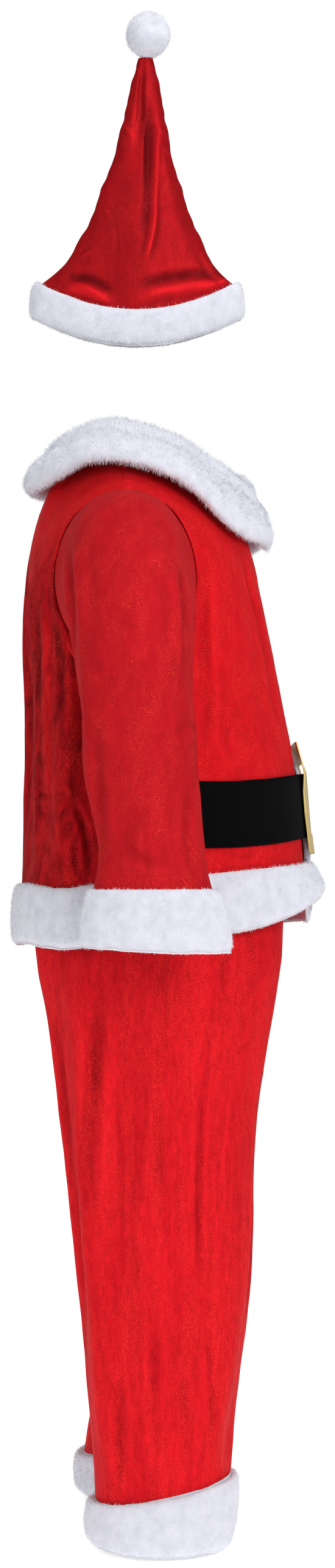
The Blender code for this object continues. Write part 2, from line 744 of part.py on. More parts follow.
def make_collar(plush):
    """A deep plush collar that folds over at the neck and lies on the shoulders like a cape."""
    rings = []
    turns = [1.0 - share for share in shares(25)]
    halves = [(turn, RIGHT) for turn in reversed(turns)] + [(turn, LEFT) for turn in turns[1:]]
    for turn, side in halves:
        station = row_at(COLLAR_STATIONS, turn)
        hang = COLLAR_FRONT_HANG * side * (1 - ease(turn / 0.45))
        back_hang = COLLAR_BACK_HANG * side * math.sin(math.pi * max(turn - 0.72, 0) / 0.28)
        roll = Vector((station.roll_x * side, station.roll_y, station.roll_z + hang))
        edge = Vector((station.edge_x * side, station.edge_y, station.edge_z + hang + back_hang))
        fall = edge - roll
        ahead = row_at(COLLAR_STATIONS, min(turn + 0.01, 1.0))
        behind = row_at(COLLAR_STATIONS, max(turn - 0.01, 0.0))
        run = Vector(
            (
                (ahead.edge_x - behind.edge_x + ahead.roll_x - behind.roll_x) * side,
                ahead.edge_y - behind.edge_y + ahead.roll_y - behind.roll_y,
                ahead.edge_z - behind.edge_z + ahead.roll_z - behind.roll_z,
            )
        )
        out = fall.cross(run).normalized() * side
        if out.z < 0:
            out = -out
        size = station.reach * (1 + tufts(turn + 0.3 * (side > 0), 5, 0.08))
        rings.append(
            [roll + out * (row.out * size) + fall * row.down for row in COLLAR_PROFILE]
        )
    swept_band("collar", rings, False, plush)


# ---------------------------------------------------------------- trousers


def leg_surface(side):
    """Outer face of a trouser leg: turn runs inseam, front, outside, back, and rise from hem to waist."""

    def surface(turn, rise):
        low = LEG_HEM_Z + LEG_HEM_SLOPE * math.sin(2 * math.pi * turn)
        z = low + (WAIST_Z - low) * rise
        ring = row_at(LEG_RINGS, z)
        half_centre = min(ring.centre / ring.half_width, 1.0)
        cut = math.acos(half_centre)
        angle = cut + (2 * math.pi - 2 * cut) * turn
        middle_y = (ring.back - ring.front) / 2
        half_depth = (ring.back + ring.front) / 2
        away = Vector((-math.cos(angle) * ring.half_width * side, -math.sin(angle) * half_depth, 0))
        low_share = ease((-1.31 - z) / 0.07)
        foot_back = LEFT_FOOT_BACK * low_share if side == LEFT else 0.0
        centre = Vector((ring.centre * side, middle_y + foot_back, z))
        inner_side = ease(min(turn, 1 - turn) / 0.09)
        under_belt = ease((-0.60 - z) / 0.08)
        hem_fade = ease((z - low) / 0.05)
        sink = fold_depth(LEG_FOLDS, turn, z) * inner_side * under_belt * hem_fade
        seam_plane = Vector((side * SEAM_GAP / 2, 0, 0))
        return centre + away * (1 - sink / away.length) + seam_plane

    return surface


def leg_cuff_trim(turn):
    """The trouser leg's trim: taller at the front, so that its lower edge is level."""
    to_front = math.sin(2 * math.pi * turn)
    return Trim(LEG_CUFF_HEIGHT + LEG_HEM_SLOPE * to_front, 0.0155, math.radians(1))


def make_trousers(velvet, plush):
    heights = [
        -1.381, -1.335, -1.275, -1.200, -1.120, -1.040, -0.960, -0.885, -0.825,
        -0.775, -0.740, -0.712, -0.685, -0.645, -0.590, -0.520, -0.435,
    ]
    rows = [(z - LEG_HEM_Z) / (WAIST_Z - LEG_HEM_Z) for z in heights]
    for side, name in ((RIGHT, "right"), (LEFT, "left")):
        surface = leg_surface(side)
        cloth_wall("trouser_leg_" + name, surface, shares(24), rows, -side, velvet)
        plush_band(
            "leg_cuff_" + name, surface, -side, shares(24)[:-1], 0.0, leg_cuff_trim, True, plush
        )


def make_waistband(velvet):
    """The casing of the elastic, gathered all round above the tops of the legs."""
    waves, stations = 12, 48
    ring_row = LEG_RINGS[-1]
    middle_y = (ring_row.back - ring_row.front) / 2
    half_depth = (ring_row.back + ring_row.front) / 2
    rings = []
    for share in shares(stations)[:-1]:
        angle = 2 * math.pi * share
        gather = 0.0015 * math.sin(waves * angle)
        out = Vector((math.sin(angle) * half_depth, -math.cos(angle) * ring_row.half_width, 0)).normalized()
        edge = Vector((math.sin(angle) * ring_row.half_width, middle_y - math.cos(angle) * half_depth, 0))
        low, high = WAIST_Z + SEAM_GAP, WAIST_Z + WAISTBAND_HEIGHT
        face = edge + out * gather
        back = edge - out * (2 * VELVET - gather)
        rings.append(
            [
                Vector((face.x, face.y, low)),
                Vector((face.x, face.y, high)),
                Vector((back.x, back.y, high)),
                Vector((back.x, back.y, low)),
            ]
        )
    swept_band("waistband", rings, True, velvet)


# ---------------------------------------------------------------- hat


def hat_surface(turn, height_share):
    """Outer face of the hat. Turn 0 is the back seam, 0.25 the right face, 0.5 the front seam."""
    height = HAT_RINGS[-1].height * height_share
    ring = row_at(HAT_RINGS, height)
    angle = 2 * math.pi * turn
    lens = 1 + 0.35 * ease(height / 0.05)
    along = math.cos(angle)
    thick = power(math.sin(angle), lens)
    sink = fold_depth(HAT_FOLDS, turn, height)
    dip = HAT_RIM_DIP * (1 - along * along) * max(1 - height_share, 0.0) ** 2.5
    local_x = -(ring.half_thickness * thick - sink * math.sin(angle))
    local_z = height - dip
    return Vector(
        (
            local_x * math.cos(HAT_TILT) - local_z * math.sin(HAT_TILT),
            ring.centre + ring.half_length * along,
            HAT_RIM_Z + local_x * math.sin(HAT_TILT) + local_z * math.cos(HAT_TILT),
        )
    )


def hat_trim(turn):
    """The hat's trim: an even roll all round."""
    return Trim(HAT_BAND_HEIGHT, 0.0105, 0.0)


def make_hat(velvet, plush):
    rows = [0.0, 0.03, 0.07, 0.12, 0.19, 0.27, 0.36, 0.46, 0.56, 0.66, 0.76, 0.86, 0.94, 1.0]
    for name, start in (("right", 0.0), ("left", 0.5)):
        columns = [start + 0.5 * share for share in shares(12)]
        cloth_wall("hat_panel_" + name, hat_surface, columns, rows, -1, velvet)
    lift = Vector((-math.sin(HAT_TILT), 0, math.cos(HAT_TILT)))
    plush_band("hat_band", hat_surface, -1, shares(38)[:-1], 0.0, hat_trim, True, plush, -lift)
    tip = (hat_surface(0.0, 1.0) + hat_surface(0.5, 1.0)) / 2
    centre = tip + lift * (POM_POM_RADIUS * 0.954) + Vector((0, -POM_POM_LEAN, 0))
    bm = bmesh.new()
    bmesh.ops.create_icosphere(bm, subdivisions=3, radius=POM_POM_RADIUS)
    for vert in bm.verts:
        x, y, z = vert.co * 160
        lump = 1 + 0.03 * math.sin(x + 1.1) * math.sin(1.3 * y) * math.sin(0.9 * z + 0.5)
        flat_foot = max(vert.co.dot(-lift) / POM_POM_RADIUS, 0.0) ** 6
        vert.co = centre + vert.co * lump * (1 - 0.03 * flat_foot)
    finish_object("pom_pom", bm, plush)


# ---------------------------------------------------------------- assembly


def clear_scene():
    for made in list(bpy.data.objects):
        bpy.data.objects.remove(made, do_unlink=True)


def main():
    clear_scene()
    velvet = material("red_velvet", (0.62, 0.012, 0.018), 0.75)
    plush = material("white_plush", (0.80, 0.81, 0.86), 0.95)
    felt = material("black_felt", (0.008, 0.008, 0.009), 0.95)
    gold = material("gold_buckle", (0.55, 0.42, 0.16), 0.35, 0.8)
    make_jacket(velvet)
    make_hem_band(plush)
    make_front_strip(plush)
    make_belt(felt)
    make_buckle(gold)
    make_sleeves(velvet, plush)
    make_collar(plush)
    make_trousers(velvet, plush)
    make_waistband(velvet)
    make_hat(velvet, plush)


main()
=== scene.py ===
import math
from collections import namedtuple

import bmesh
import bpy
import numpy as np
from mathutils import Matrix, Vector, noise
from mathutils.bvhtree import BVHTree
from mathutils.kdtree import KDTree


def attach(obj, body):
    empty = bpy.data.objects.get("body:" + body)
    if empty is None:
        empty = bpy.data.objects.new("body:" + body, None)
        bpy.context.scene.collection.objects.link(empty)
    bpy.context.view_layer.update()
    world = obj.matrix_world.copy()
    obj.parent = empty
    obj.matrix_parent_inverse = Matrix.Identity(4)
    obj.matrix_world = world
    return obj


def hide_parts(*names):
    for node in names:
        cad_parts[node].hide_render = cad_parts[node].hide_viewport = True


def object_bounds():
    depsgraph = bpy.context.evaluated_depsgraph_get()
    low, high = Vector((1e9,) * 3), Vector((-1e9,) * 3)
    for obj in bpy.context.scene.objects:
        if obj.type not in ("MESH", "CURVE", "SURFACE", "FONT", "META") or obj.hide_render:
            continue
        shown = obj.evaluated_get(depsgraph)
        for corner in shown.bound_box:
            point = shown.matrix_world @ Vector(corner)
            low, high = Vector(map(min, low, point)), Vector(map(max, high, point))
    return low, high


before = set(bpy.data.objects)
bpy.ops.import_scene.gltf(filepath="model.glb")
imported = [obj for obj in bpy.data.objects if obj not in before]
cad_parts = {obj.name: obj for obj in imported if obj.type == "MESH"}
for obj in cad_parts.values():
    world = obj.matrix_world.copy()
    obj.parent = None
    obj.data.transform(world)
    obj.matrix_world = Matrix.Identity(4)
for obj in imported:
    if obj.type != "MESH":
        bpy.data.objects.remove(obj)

solid_low, solid_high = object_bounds()

# ---------------------------------------------------------------- camera
# A level camera a little below the belt, square on to the wearer's right side. Its lens is shifted
# up a little, so that the middle of the suit is in the middle of the view.

camera = bpy.data.cameras.new("studio_camera")
camera.sensor_fit = "VERTICAL"
camera.sensor_width = 36
camera.sensor_height = 36
camera.lens = 52.83
camera.shift_y = 0.0629
camera_stand = bpy.data.objects.new("studio_camera", camera)
camera_stand.location = (-3.1, -0.041, -0.5986)
camera_stand.rotation_euler = (math.radians(90), 0, math.radians(-90))
bpy.context.scene.collection.objects.link(camera_stand)
bpy.context.scene.camera = camera_stand
bpy.context.scene.view_settings.view_transform = "Standard"

# ---------------------------------------------------------------- floor, lights and white surround
# A pale painted floor just under the trouser cuffs, three soft boxes and a white surround. The
# key light stands before the wearer's right hand, so that the back of the jacket falls into shade.

FLOOR_DROP = 0.004
FLOOR_RADIUS = 2.6


def linear(code):
    """A colour from its sRGB hex code, as the linear values that a shader takes."""
    parts = [int(code[i : i + 2], 16) / 255 for i in (1, 3, 5)]
    return [c / 12.92 if c <= 0.04045 else ((c + 0.055) / 1.055) ** 2.4 for c in parts] + [1.0]


def add(tree, kind, settings=(), links=()):
    """Adds a node. Settings and links go by the name or number of a socket, or of a property."""
    made = tree.nodes.new(kind)
    for key, value in dict(settings).items():
        if isinstance(key, int) or key in made.inputs:
            made.inputs[key].default_value = value
        else:
            setattr(made, key, value)
    for key, source in dict(links).items():
        tree.links.new(source, made.inputs[key])
    return made


def new_material(name, settings):
    """A material with one Principled shader, and its node tree and shader."""
    made = bpy.data.materials.new(name)
    made.use_nodes = True
    shader = made.node_tree.nodes["Principled BSDF"]
    for key, value in settings.items():
        shader.inputs[key].default_value = value
    return made, made.node_tree, shader


# Matt white studio paint, rolled on: even, with no gloss. It glows a little, as an overlit floor does.
floor_paint, tree, shader = new_material(
    "matt_rolled_studio_paint",
    {
        "Base Color": linear("#F2F2F2"),
        "Roughness": 0.95,
        "Specular IOR Level": 0.1,
        "Emission Color": linear("#FFFFFF"),
        "Emission Strength": 0.62,
    },
)
place = add(tree, "ShaderNodeTexCoord")
stipple = add(
    tree, "ShaderNodeTexNoise", {"Scale": 1 / 0.004, "Detail": 2}, {"Vector": place.outputs["Object"]}
)
relief = add(
    tree, "ShaderNodeBump", {"Strength": 0.05, "Distance": 0.0002}, {"Height": stipple.outputs[0]}
)
tree.links.new(relief.outputs[0], shader.inputs["Normal"])

bm = bmesh.new()
bmesh.ops.create_circle(bm, cap_ends=True, segments=96, radius=FLOOR_RADIUS)
floor_mesh = bpy.data.meshes.new("floor")
bm.to_mesh(floor_mesh)
bm.free()
floor_mesh.materials.append(floor_paint)
floor = bpy.data.objects.new("floor", floor_mesh)
floor.location.z = solid_low.z - FLOOR_DROP
bpy.context.scene.collection.objects.link(floor)

SoftBox = namedtuple("SoftBox", "name place aim size watts")
for box in [
    SoftBox("key_soft_box", (-3.0, -1.7, 0.9), (0, -0.05, -0.5), 1.8, 70),
    SoftBox("overhead_soft_box", (-1.1, -0.5, 2.2), (0, 0, -0.2), 1.2, 22),
    SoftBox("rear_soft_box", (-2.0, 2.4, 0.2), (0, 0.05, -0.5), 1.6, 20),
]:
    light = bpy.data.lights.new(box.name, "AREA")
    light.energy = box.watts
    light.size = box.size
    lamp = bpy.data.objects.new(box.name, light)
    lamp.location = box.place
    lamp.rotation_mode = "QUATERNION"
    lamp.rotation_quaternion = (Vector(box.place) - Vector(box.aim)).to_track_quat("Z", "Y")
    bpy.context.scene.collection.objects.link(lamp)

surround = bpy.data.worlds.new("white_surround")
surround.use_nodes = True
bpy.context.scene.world = surround
tree = surround.node_tree
tree.nodes.clear()
seen = add(tree, "ShaderNodeLightPath")
lit = add(tree, "ShaderNodeBackground", {"Color": linear("#FFFFFF"), "Strength": 0.46})
white = add(tree, "ShaderNodeBackground", {"Color": linear("#FFFFFF"), "Strength": 1.0})
both = add(
    tree,
    "ShaderNodeMixShader",
    {},
    {0: seen.outputs["Is Camera Ray"], 1: lit.outputs[0], 2: white.outputs[0]},
)
add(tree, "ShaderNodeOutputWorld", {}, {"Surface": both.outputs[0]})

# ---------------------------------------------------------------- jacket body
# A back and two fronts, each cut in one piece from knitted pile velvet and joined at the sides and
# shoulders with plain seams. The fronts hang smooth over the belly and the back falls in deep folds.

VELVET_WALL = 0.0015
SEAM_DIP = 0.0006  # how deep a sewn edge draws in
SEAM_DIP_WIDTH = 0.0035
VELVET_LUMP = 0.0007  # the slack of the cloth between its creases
VELVET_LUMP_SIZE = 0.045
FINE_VELVET_LUMP = 0.35 * VELVET_LUMP
LUMP_FADE = (0.002, 0.016)  # the slack fades out this near to a seam
CREASE_FADE = (0, 0.012)  # and so do the creases
RIM_ANGLE = math.radians(66)  # a sharper turn than this is the rim of a wall
PULLS = 4  # rounds of pulling a smoothed surface back out onto its points

# A crease is drawn as it is seen from one side of the suit: the wearer's right or left, the front or
# the back. Its path is in mm, across and up. Below 0, depth is a ridge. Width is its half width.
Crease = namedtuple("Crease", "side path width depth")
FACING_FADE = (0.05, 0.5)  # it fades out where the cloth turns away from that side
START_FADE, END_FADE = 0.3, 0.25  # and over these shares of its length
SHOULDER_AWAY, SHOULDER_WIDTH, SHOULDER_HEIGHT = 2.1, 0.9, 0.4  # shares of its width and depth
FAR = 9.0  # further than any point lies from a crease
SIDES = {
    "right": ((-1, 0, 0), 1),
    "left": ((1, 0, 0), 1),
    "front": ((0, -1, 0), 0),
    "back": ((0, 1, 0), 0),
}


def welded_solid(node):
    """One solid of the frame, its shared corners welded."""
    bm = bmesh.new()
    bm.from_mesh(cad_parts[node].data)
    bmesh.ops.remove_doubles(bm, verts=bm.verts, dist=1e-6)
    return bm


def paired_solid(node):
    """One solid of the frame, with its triangles paired up into the quads that it was made from."""
    bm = welded_solid(node)
    bmesh.ops.join_triangles(
        bm, faces=bm.faces, angle_face_threshold=math.pi, angle_shape_threshold=math.pi
    )
    return bm


def cloth_face(node):
    """The outward face of a wall in the frame: its points, and its quads as rows of point numbers."""
    bm = paired_solid(node)
    bm.normal_update()
    middle = sum((v.co for v in bm.verts), Vector()) / len(bm.verts)
    best, outward = [], 0.0
    for face in bm.faces:
        face.tag = False
    for first in bm.faces:
        if first.tag:
            continue
        first.tag = True
        island, waiting = [first], [first]
        while waiting:
            for edge in waiting.pop().edges:
                if edge.calc_face_angle(0) > RIM_ANGLE:
                    continue
                for other in edge.link_faces:
                    if not other.tag:
                        other.tag = True
                        island.append(other)
                        waiting.append(other)
        facing = sum(
            f.calc_area() * f.normal.dot(f.calc_center_median() - middle) for f in island
        )
        if facing > outward:
            best, outward = island, facing
    best.sort(key=lambda f: f.index)
    used = sorted({v.index for f in best for v in f.verts})
    number = {old: new for new, old in enumerate(used)}
    bm.verts.ensure_lookup_table()
    points = np.array([bm.verts[i].co for i in used])
    faces = [[number[v.index] for v in f.verts] for f in best]
    bm.free()
    return points, faces


def evaluated(shell):
    """The points and quads of an object with its modifiers."""
    graph = bpy.context.evaluated_depsgraph_get()
    result = shell.evaluated_get(graph)
    mesh = result.to_mesh()
    points = np.empty(len(mesh.vertices) * 3, np.float32)
    mesh.vertices.foreach_get("co", points)
    corners = np.empty(len(mesh.loops), np.int32)
    mesh.loops.foreach_get("vertex_index", corners)
    result.to_mesh_clear()
    return points.reshape(-1, 3).astype(float), corners.reshape(-1, 4)


def rounded(points, faces, levels):
    """A dense smooth surface that still runs through every given point."""
    mesh = bpy.data.meshes.new("rounding")
    mesh.from_pydata([tuple(p) for p in points], [], faces)
    shell = bpy.data.objects.new("rounding", mesh)
    bpy.context.scene.collection.objects.link(shell)
    rounding = shell.modifiers.new("rounding", "SUBSURF")
    rounding.boundary_smooth = "PRESERVE_CORNERS"
    rounding.levels = 1
    rounding.use_limit_surface = True
    pulls = points.copy()
    for _ in range(PULLS):
        pulls += points - evaluated(shell)[0][: len(points)]
        mesh.vertices.foreach_set("co", pulls.astype(np.float32).ravel())
        mesh.update()
        bpy.context.view_layer.update()
    rounding.levels = levels
    dense = evaluated(shell)
    bpy.data.objects.remove(shell)
    bpy.data.meshes.remove(mesh)
    return dense


def point_normals(points, quads):
    """The outward direction at each point, from the quads around it."""
    across = points[quads[:, 2]] - points[quads[:, 0]]
    along = points[quads[:, 3]] - points[quads[:, 1]]
    facing = np.cross(across, along)
    normals = np.zeros_like(points)
    for corner in range(4):
        np.add.at(normals, quads[:, corner], facing)
    return normals / np.maximum(np.linalg.norm(normals, axis=1, keepdims=True), 1e-12)


def edge_loop(quads):
    """The edges that only one quad has, as pairs of point numbers in that quad's order."""
    pairs = np.concatenate([quads[:, [i, (i + 1) % 4]] for i in range(4)])
    keys = np.sort(pairs, axis=1)
    _, first, count = np.unique(keys, axis=0, return_index=True, return_counts=True)
    return pairs[np.sort(first[count == 1])]


def soft_step(low, high, value):
    """A share that rises smoothly from 0 at low to 1 at high."""
    share = np.clip((value - low) / (high - low), 0, 1)
    return share * share * (3 - 2 * share)


def lumps(points, size, seed):
    """Soft noise from about -1 to 1 at each point."""
    return np.array([noise.noise(Vector(p) / size + Vector((seed, 2.7 * seed, 0))) for p in points])


def drawn_line(path):
    """A smooth line through a crease's points, in metres."""
    ends = [np.array(p, float) for p in (path[0], *path, path[-1])]
    line = []
    for before, low, high, after in zip(ends, ends[1:], ends[2:], ends[3:]):
        for share in np.linspace(0, 1, 9)[:-1]:
            line.append(
                0.5
                * (
                    2 * low
                    + (high - before) * share
                    + (2 * before - 5 * low + 4 * high - after) * share**2
                    + (3 * low - before - 3 * high + after) * share**3
                )
            )
    return np.array([*line, ends[-1]]) / 1000


def creased(points, normals, creases):
    """How far the creases lift each point. A trough has a low shoulder on both sides."""
    lift = np.zeros(len(points))
    for number, crease in enumerate(creases):
        sight, across = SIDES[crease.side]
        facing = soft_step(*FACING_FADE, normals @ np.array(sight, float))
        seen_from = points[:, [across, 2]]
        line = drawn_line(crease.path)
        nearest = np.full(len(points), FAR)
        along = np.zeros(len(points))
        for i, (start, end) in enumerate(zip(line, line[1:])):
            span = end - start
            share = np.clip((seen_from - start) @ span / max(span @ span, 1e-12), 0, 1)
            away = np.linalg.norm(seen_from - start - share[:, None] * span, axis=1)
            closer = away < nearest
            nearest = np.where(closer, away, nearest)
            along = np.where(closer, (i + share) / (len(line) - 1), along)
        width, depth = crease.width / 1000, crease.depth / 1000
        fade = soft_step(0, START_FADE, along) * soft_step(0, END_FADE, 1 - along)
        uneven = 0.85 + 0.25 * np.sin(along * 7 + number * 2.1)
        trough = np.exp(-((nearest / width) ** 2))
        shoulder = np.exp(-(((nearest - SHOULDER_AWAY * width) / (SHOULDER_WIDTH * width)) ** 2))
        lift -= depth * facing * fade * uneven * (trough - SHOULDER_HEIGHT * shoulder)
    return lift


def mesh_object(name, points, faces, finish):
    """A smooth-shaded object in the scene, with one material."""
    mesh = bpy.data.meshes.new(name)
    mesh.from_pydata(points, [], faces)
    mesh.materials.append(finish)
    mesh.shade_smooth()
    made = bpy.data.objects.new(name, mesh)
    bpy.context.scene.collection.objects.link(made)
    return made


FULL_CREASE_SHADING_DEPTH = 0.006  # a crease this deep gets the full painted shade, and a ridge this high the full painted highlight
EDGE_WAVE = 0.0022  # how far a stretched seam runs in and out
EDGE_WAVE_SIZE = 0.014
EDGE_WAVE_REACH = 0.03  # and how far that reaches into the cloth
dressed = {}  # the outer face of each cloth panel, for the trims that lie on it


def shell_faces(points, quads, coarse_points, coarse_quads):
    """Faces that close a fine outer layer with a coarser inner one. The inner layer's points follow
    the outer ones, and the second result says which outer point each of them lies under."""
    tree = KDTree(len(points))
    for i, point in enumerate(points):
        tree.insert(point, i)
    tree.balance()
    under = np.array([tree.find(p)[1] for p in coarse_points])
    after = {int(a): int(b) for a, b in edge_loop(quads)}
    faces = quads.tolist() + (coarse_quads[:, ::-1] + len(points)).tolist()
    for a, b in edge_loop(coarse_quads):
        start, end = int(under[a]), int(under[b])
        faces.append(
            [end, after[start], start, int(a) + len(points), int(b) + len(points)]
        )
    return faces, under


def cloth_panel(name, node, finish, creases, levels=3, wavy=False):
    """A thin velvet shell on one solid's form, with its creases, its slack and its drawn-in seams."""
    wall = cloth_face(node)
    points, quads = rounded(*wall, levels)
    faces, under = shell_faces(points, quads, *rounded(*wall, levels - 1))
    rim = edge_loop(quads)
    tree = KDTree(len(rim))
    for i, number in enumerate(rim[:, 0]):
        tree.insert(points[number], i)
    tree.balance()
    from_edge = np.array([tree.find(p)[2] for p in points])
    inside = soft_step(*LUMP_FADE, from_edge)
    normals = point_normals(points, quads)
    lift = creased(points, normals, creases) * soft_step(*CREASE_FADE, from_edge)
    # The creases' lift sets the strength of the painted shade in troughs and of the painted highlight on
    # ridges.
    crease_shading = lift / FULL_CREASE_SHADING_DEPTH
    lift += VELVET_LUMP * inside * lumps(points, VELVET_LUMP_SIZE, 3)
    lift += FINE_VELVET_LUMP * inside * lumps(points, VELVET_LUMP_SIZE / 3, 7)
    lift -= SEAM_DIP * np.exp(-((from_edge / SEAM_DIP_WIDTH) ** 2))
    outer = points + normals * lift[:, None]
    if wavy:
        # The side seams are stretched in sewing, so the edges run a little in and out.
        wave = np.array([noise.noise(Vector((7.3, 0, z / EDGE_WAVE_SIZE))) for z in outer[:, 2]])
        reach = np.exp(-((from_edge / EDGE_WAVE_REACH) ** 2))
        outer[:, 1] += EDGE_WAVE * wave * np.sign(outer[:, 1]) * reach
    inner = outer[under] - point_normals(outer, quads)[under] * VELVET_WALL
    panel = mesh_object(name, np.concatenate([outer, inner]), faces, finish)
    # How far each point lies down in a fold or up on a ridge, for the painted shade in its folds and the
    # painted highlight on its ridges.
    crease_shading_attribute = panel.data.attributes.new("crease_shading", "FLOAT", "POINT")
    crease_shading_attribute.data.foreach_set("value", np.concatenate([crease_shading, crease_shading[under]]).astype(np.float32))
    dressed[name] = (outer, quads)
    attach(panel, "root")
    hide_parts(node)
    return panel


def knitted_velvet(
    name, deep, bright, patchy, streaky, grainy, gloss, rough=(0.60, 0.42), painted_glint_strength=1.0, painted_yoke_light=0.0,
    hang=0.55, crease_shading_strength=0.6
):
    """Polyester pile velvet, knitted and steamed: the pile lies over in brushed patches that turn
    light or dark, with fine painted glints, bright specks painted into the colour where single tufts
    would catch the light, and painted shade in its folds. It throws back its own red, so the gloss is a
    metal's share with a red edge, and there is no white film on it."""
    made, tree, shader = new_material(
        name,
        {
            "Metallic": gloss,
            "IOR": 1.5,
            "Specular IOR Level": 0.02,
            "Specular Tint": linear("#E81A20"),
            "Sheen Weight": 0.06,
            "Sheen Roughness": 0.4,
            "Sheen Tint": linear("#FF2020"),
        },
    )
    place = add(tree, "ShaderNodeTexCoord").outputs["Object"]
    hanging = add(tree, "ShaderNodeMapping", {"Scale": (1, 1, hang)}, {"Vector": place}).outputs[0]
    streaked = add(tree, "ShaderNodeMapping", {"Scale": (1, 1, 0.35)}, {"Vector": place}).outputs[0]
    # Patches 22 mm wide, in which the pile lies one way.
    patches = add(
        tree,
        "ShaderNodeTexNoise",
        {"Scale": 1 / 0.022, "Detail": 5, "Roughness": 0.62, "Distortion": 0.9},
        {"Vector": hanging},
    ).outputs[0]
    # Short streaks 6 mm wide where the cloth has hung.
    streaks = add(
        tree,
        "ShaderNodeTexNoise",
        {"Scale": 1 / 0.006, "Detail": 3, "Roughness": 0.65, "Distortion": 0.4},
        {"Vector": streaked},
    ).outputs[0]
    # Tufts stand 0.4 mm apart and are drawn at 1 mm, so that they show.
    tufts = add(
        tree,
        "ShaderNodeTexNoise",
        {"Scale": 1 / 0.0010, "Detail": 2, "Roughness": 0.6},
        {"Vector": place},
    ).outputs[0]
    nap = add(
        tree,
        "ShaderNodeMath",
        {"operation": "MULTIPLY_ADD", 1: patchy, 2: 0.5 - 0.5 * (patchy + streaky + grainy)},
        {0: patches},
    ).outputs[0]
    nap = add(
        tree, "ShaderNodeMath", {"operation": "MULTIPLY_ADD", 1: streaky}, {0: streaks, 2: nap}
    ).outputs[0]
    nap = add(
        tree,
        "ShaderNodeMath",
        {"operation": "MULTIPLY_ADD", 1: grainy, "use_clamp": True},
        {0: tufts, 2: nap},
    ).outputs[0]
    # The colour is painted darker down in a fold, a painted shade, and lighter along a ridge, a painted
    # highlight.
    crease_shading = add(tree, "ShaderNodeAttribute", {"attribute_name": "crease_shading"}).outputs["Fac"]
    nap = add(
        tree,
        "ShaderNodeMath",
        {"operation": "MULTIPLY_ADD", 1: crease_shading_strength, "use_clamp": True},
        {0: crease_shading, 2: nap},
    ).outputs[0]
    if painted_yoke_light:
        # Over the shoulder blades the colour is painted brighter towards the top, a painted highlight
        # where light falls on the upper back.
        parts = add(tree, "ShaderNodeSeparateXYZ", {}, {0: place}).outputs
        painted_yoke_share = add(
            tree,
            "ShaderNodeMapRange",
            {"From Min": -0.23, "From Max": -0.11, "To Max": painted_yoke_light},
            {"Value": parts["Z"]},
        ).outputs[0]
        nap = add(
            tree, "ShaderNodeMath", {"operation": "ADD", "use_clamp": True}, {0: nap, 1: painted_yoke_share}
        ).outputs[0]
    color = add(
        tree,
        "ShaderNodeMix",
        {"data_type": "RGBA", 6: linear(deep), 7: linear(bright)},
        {0: nap},
    ).outputs[2]
    # Painted glints, bright specks of painted highlight, gather in clusters 25 mm wide.
    glint_clusters = add(
        tree,
        "ShaderNodeTexNoise",
        {"Scale": 1 / 0.025, "Detail": 3, "Roughness": 0.6, "Distortion": 0.5},
        {"Vector": hanging},
    ).outputs[0]
    glint_clusters = add(
        tree, "ShaderNodeMapRange", {"From Min": 0.40, "From Max": 0.62}, {"Value": glint_clusters}
    ).outputs[0]
    # The painted glint: tiny bright spots painted into the colour as a painted highlight.
    painted_glint = add(
        tree, "ShaderNodeMapRange", {"From Min": 0.56, "From Max": 0.74}, {"Value": tufts}
    ).outputs[0]
    painted_glint = add(tree, "ShaderNodeMath", {"operation": "MULTIPLY"}, {0: painted_glint, 1: glint_clusters}).outputs[0]
    painted_glint = add(tree, "ShaderNodeMath", {"operation": "MULTIPLY", 1: painted_glint_strength}, {0: painted_glint}).outputs[0]
    color = add(
        tree,
        "ShaderNodeMix",
        {"data_type": "RGBA", 7: linear("#FF4A34")},
        {0: painted_glint, 6: color},
    ).outputs[2]
    tree.links.new(color, shader.inputs["Base Color"])
    rough = add(
        tree, "ShaderNodeMapRange", {"To Min": rough[0], "To Max": rough[1]}, {"Value": nap}
    ).outputs[0]
    tree.links.new(rough, shader.inputs["Roughness"])
    pile = add(
        tree, "ShaderNodeBump", {"Strength": 0.7, "Distance": 0.0006}, {"Height": tufts}
    ).outputs[0]
    pile = add(
        tree,
        "ShaderNodeBump",
        {"Strength": 0.3, "Distance": 0.0025},
        {"Height": patches, "Normal": pile},
    ).outputs[0]
    tree.links.new(pile, shader.inputs["Normal"])
    return made


# Fronts: the pile is brushed up and shows its bright side, with many fine painted glints.
front_velvet = knitted_velvet(
    "pile_velvet_brushed_up", "#960F16", "#E81E27", 0.55, 0.35, 1.3, 0.12, crease_shading_strength=0.45
)
# Back: the pile is brushed down and crushed in patches, so it is uneven, and its colour is painted
# darker than on the fronts, a painted shade over the back.
back_velvet = knitted_velvet(
    "pile_velvet_crushed_with_painted_shade", "#660B11", "#C4181F", 1.8, 0.5, 1.1, 0.18, painted_yoke_light=0.7, crease_shading_strength=0.5
)

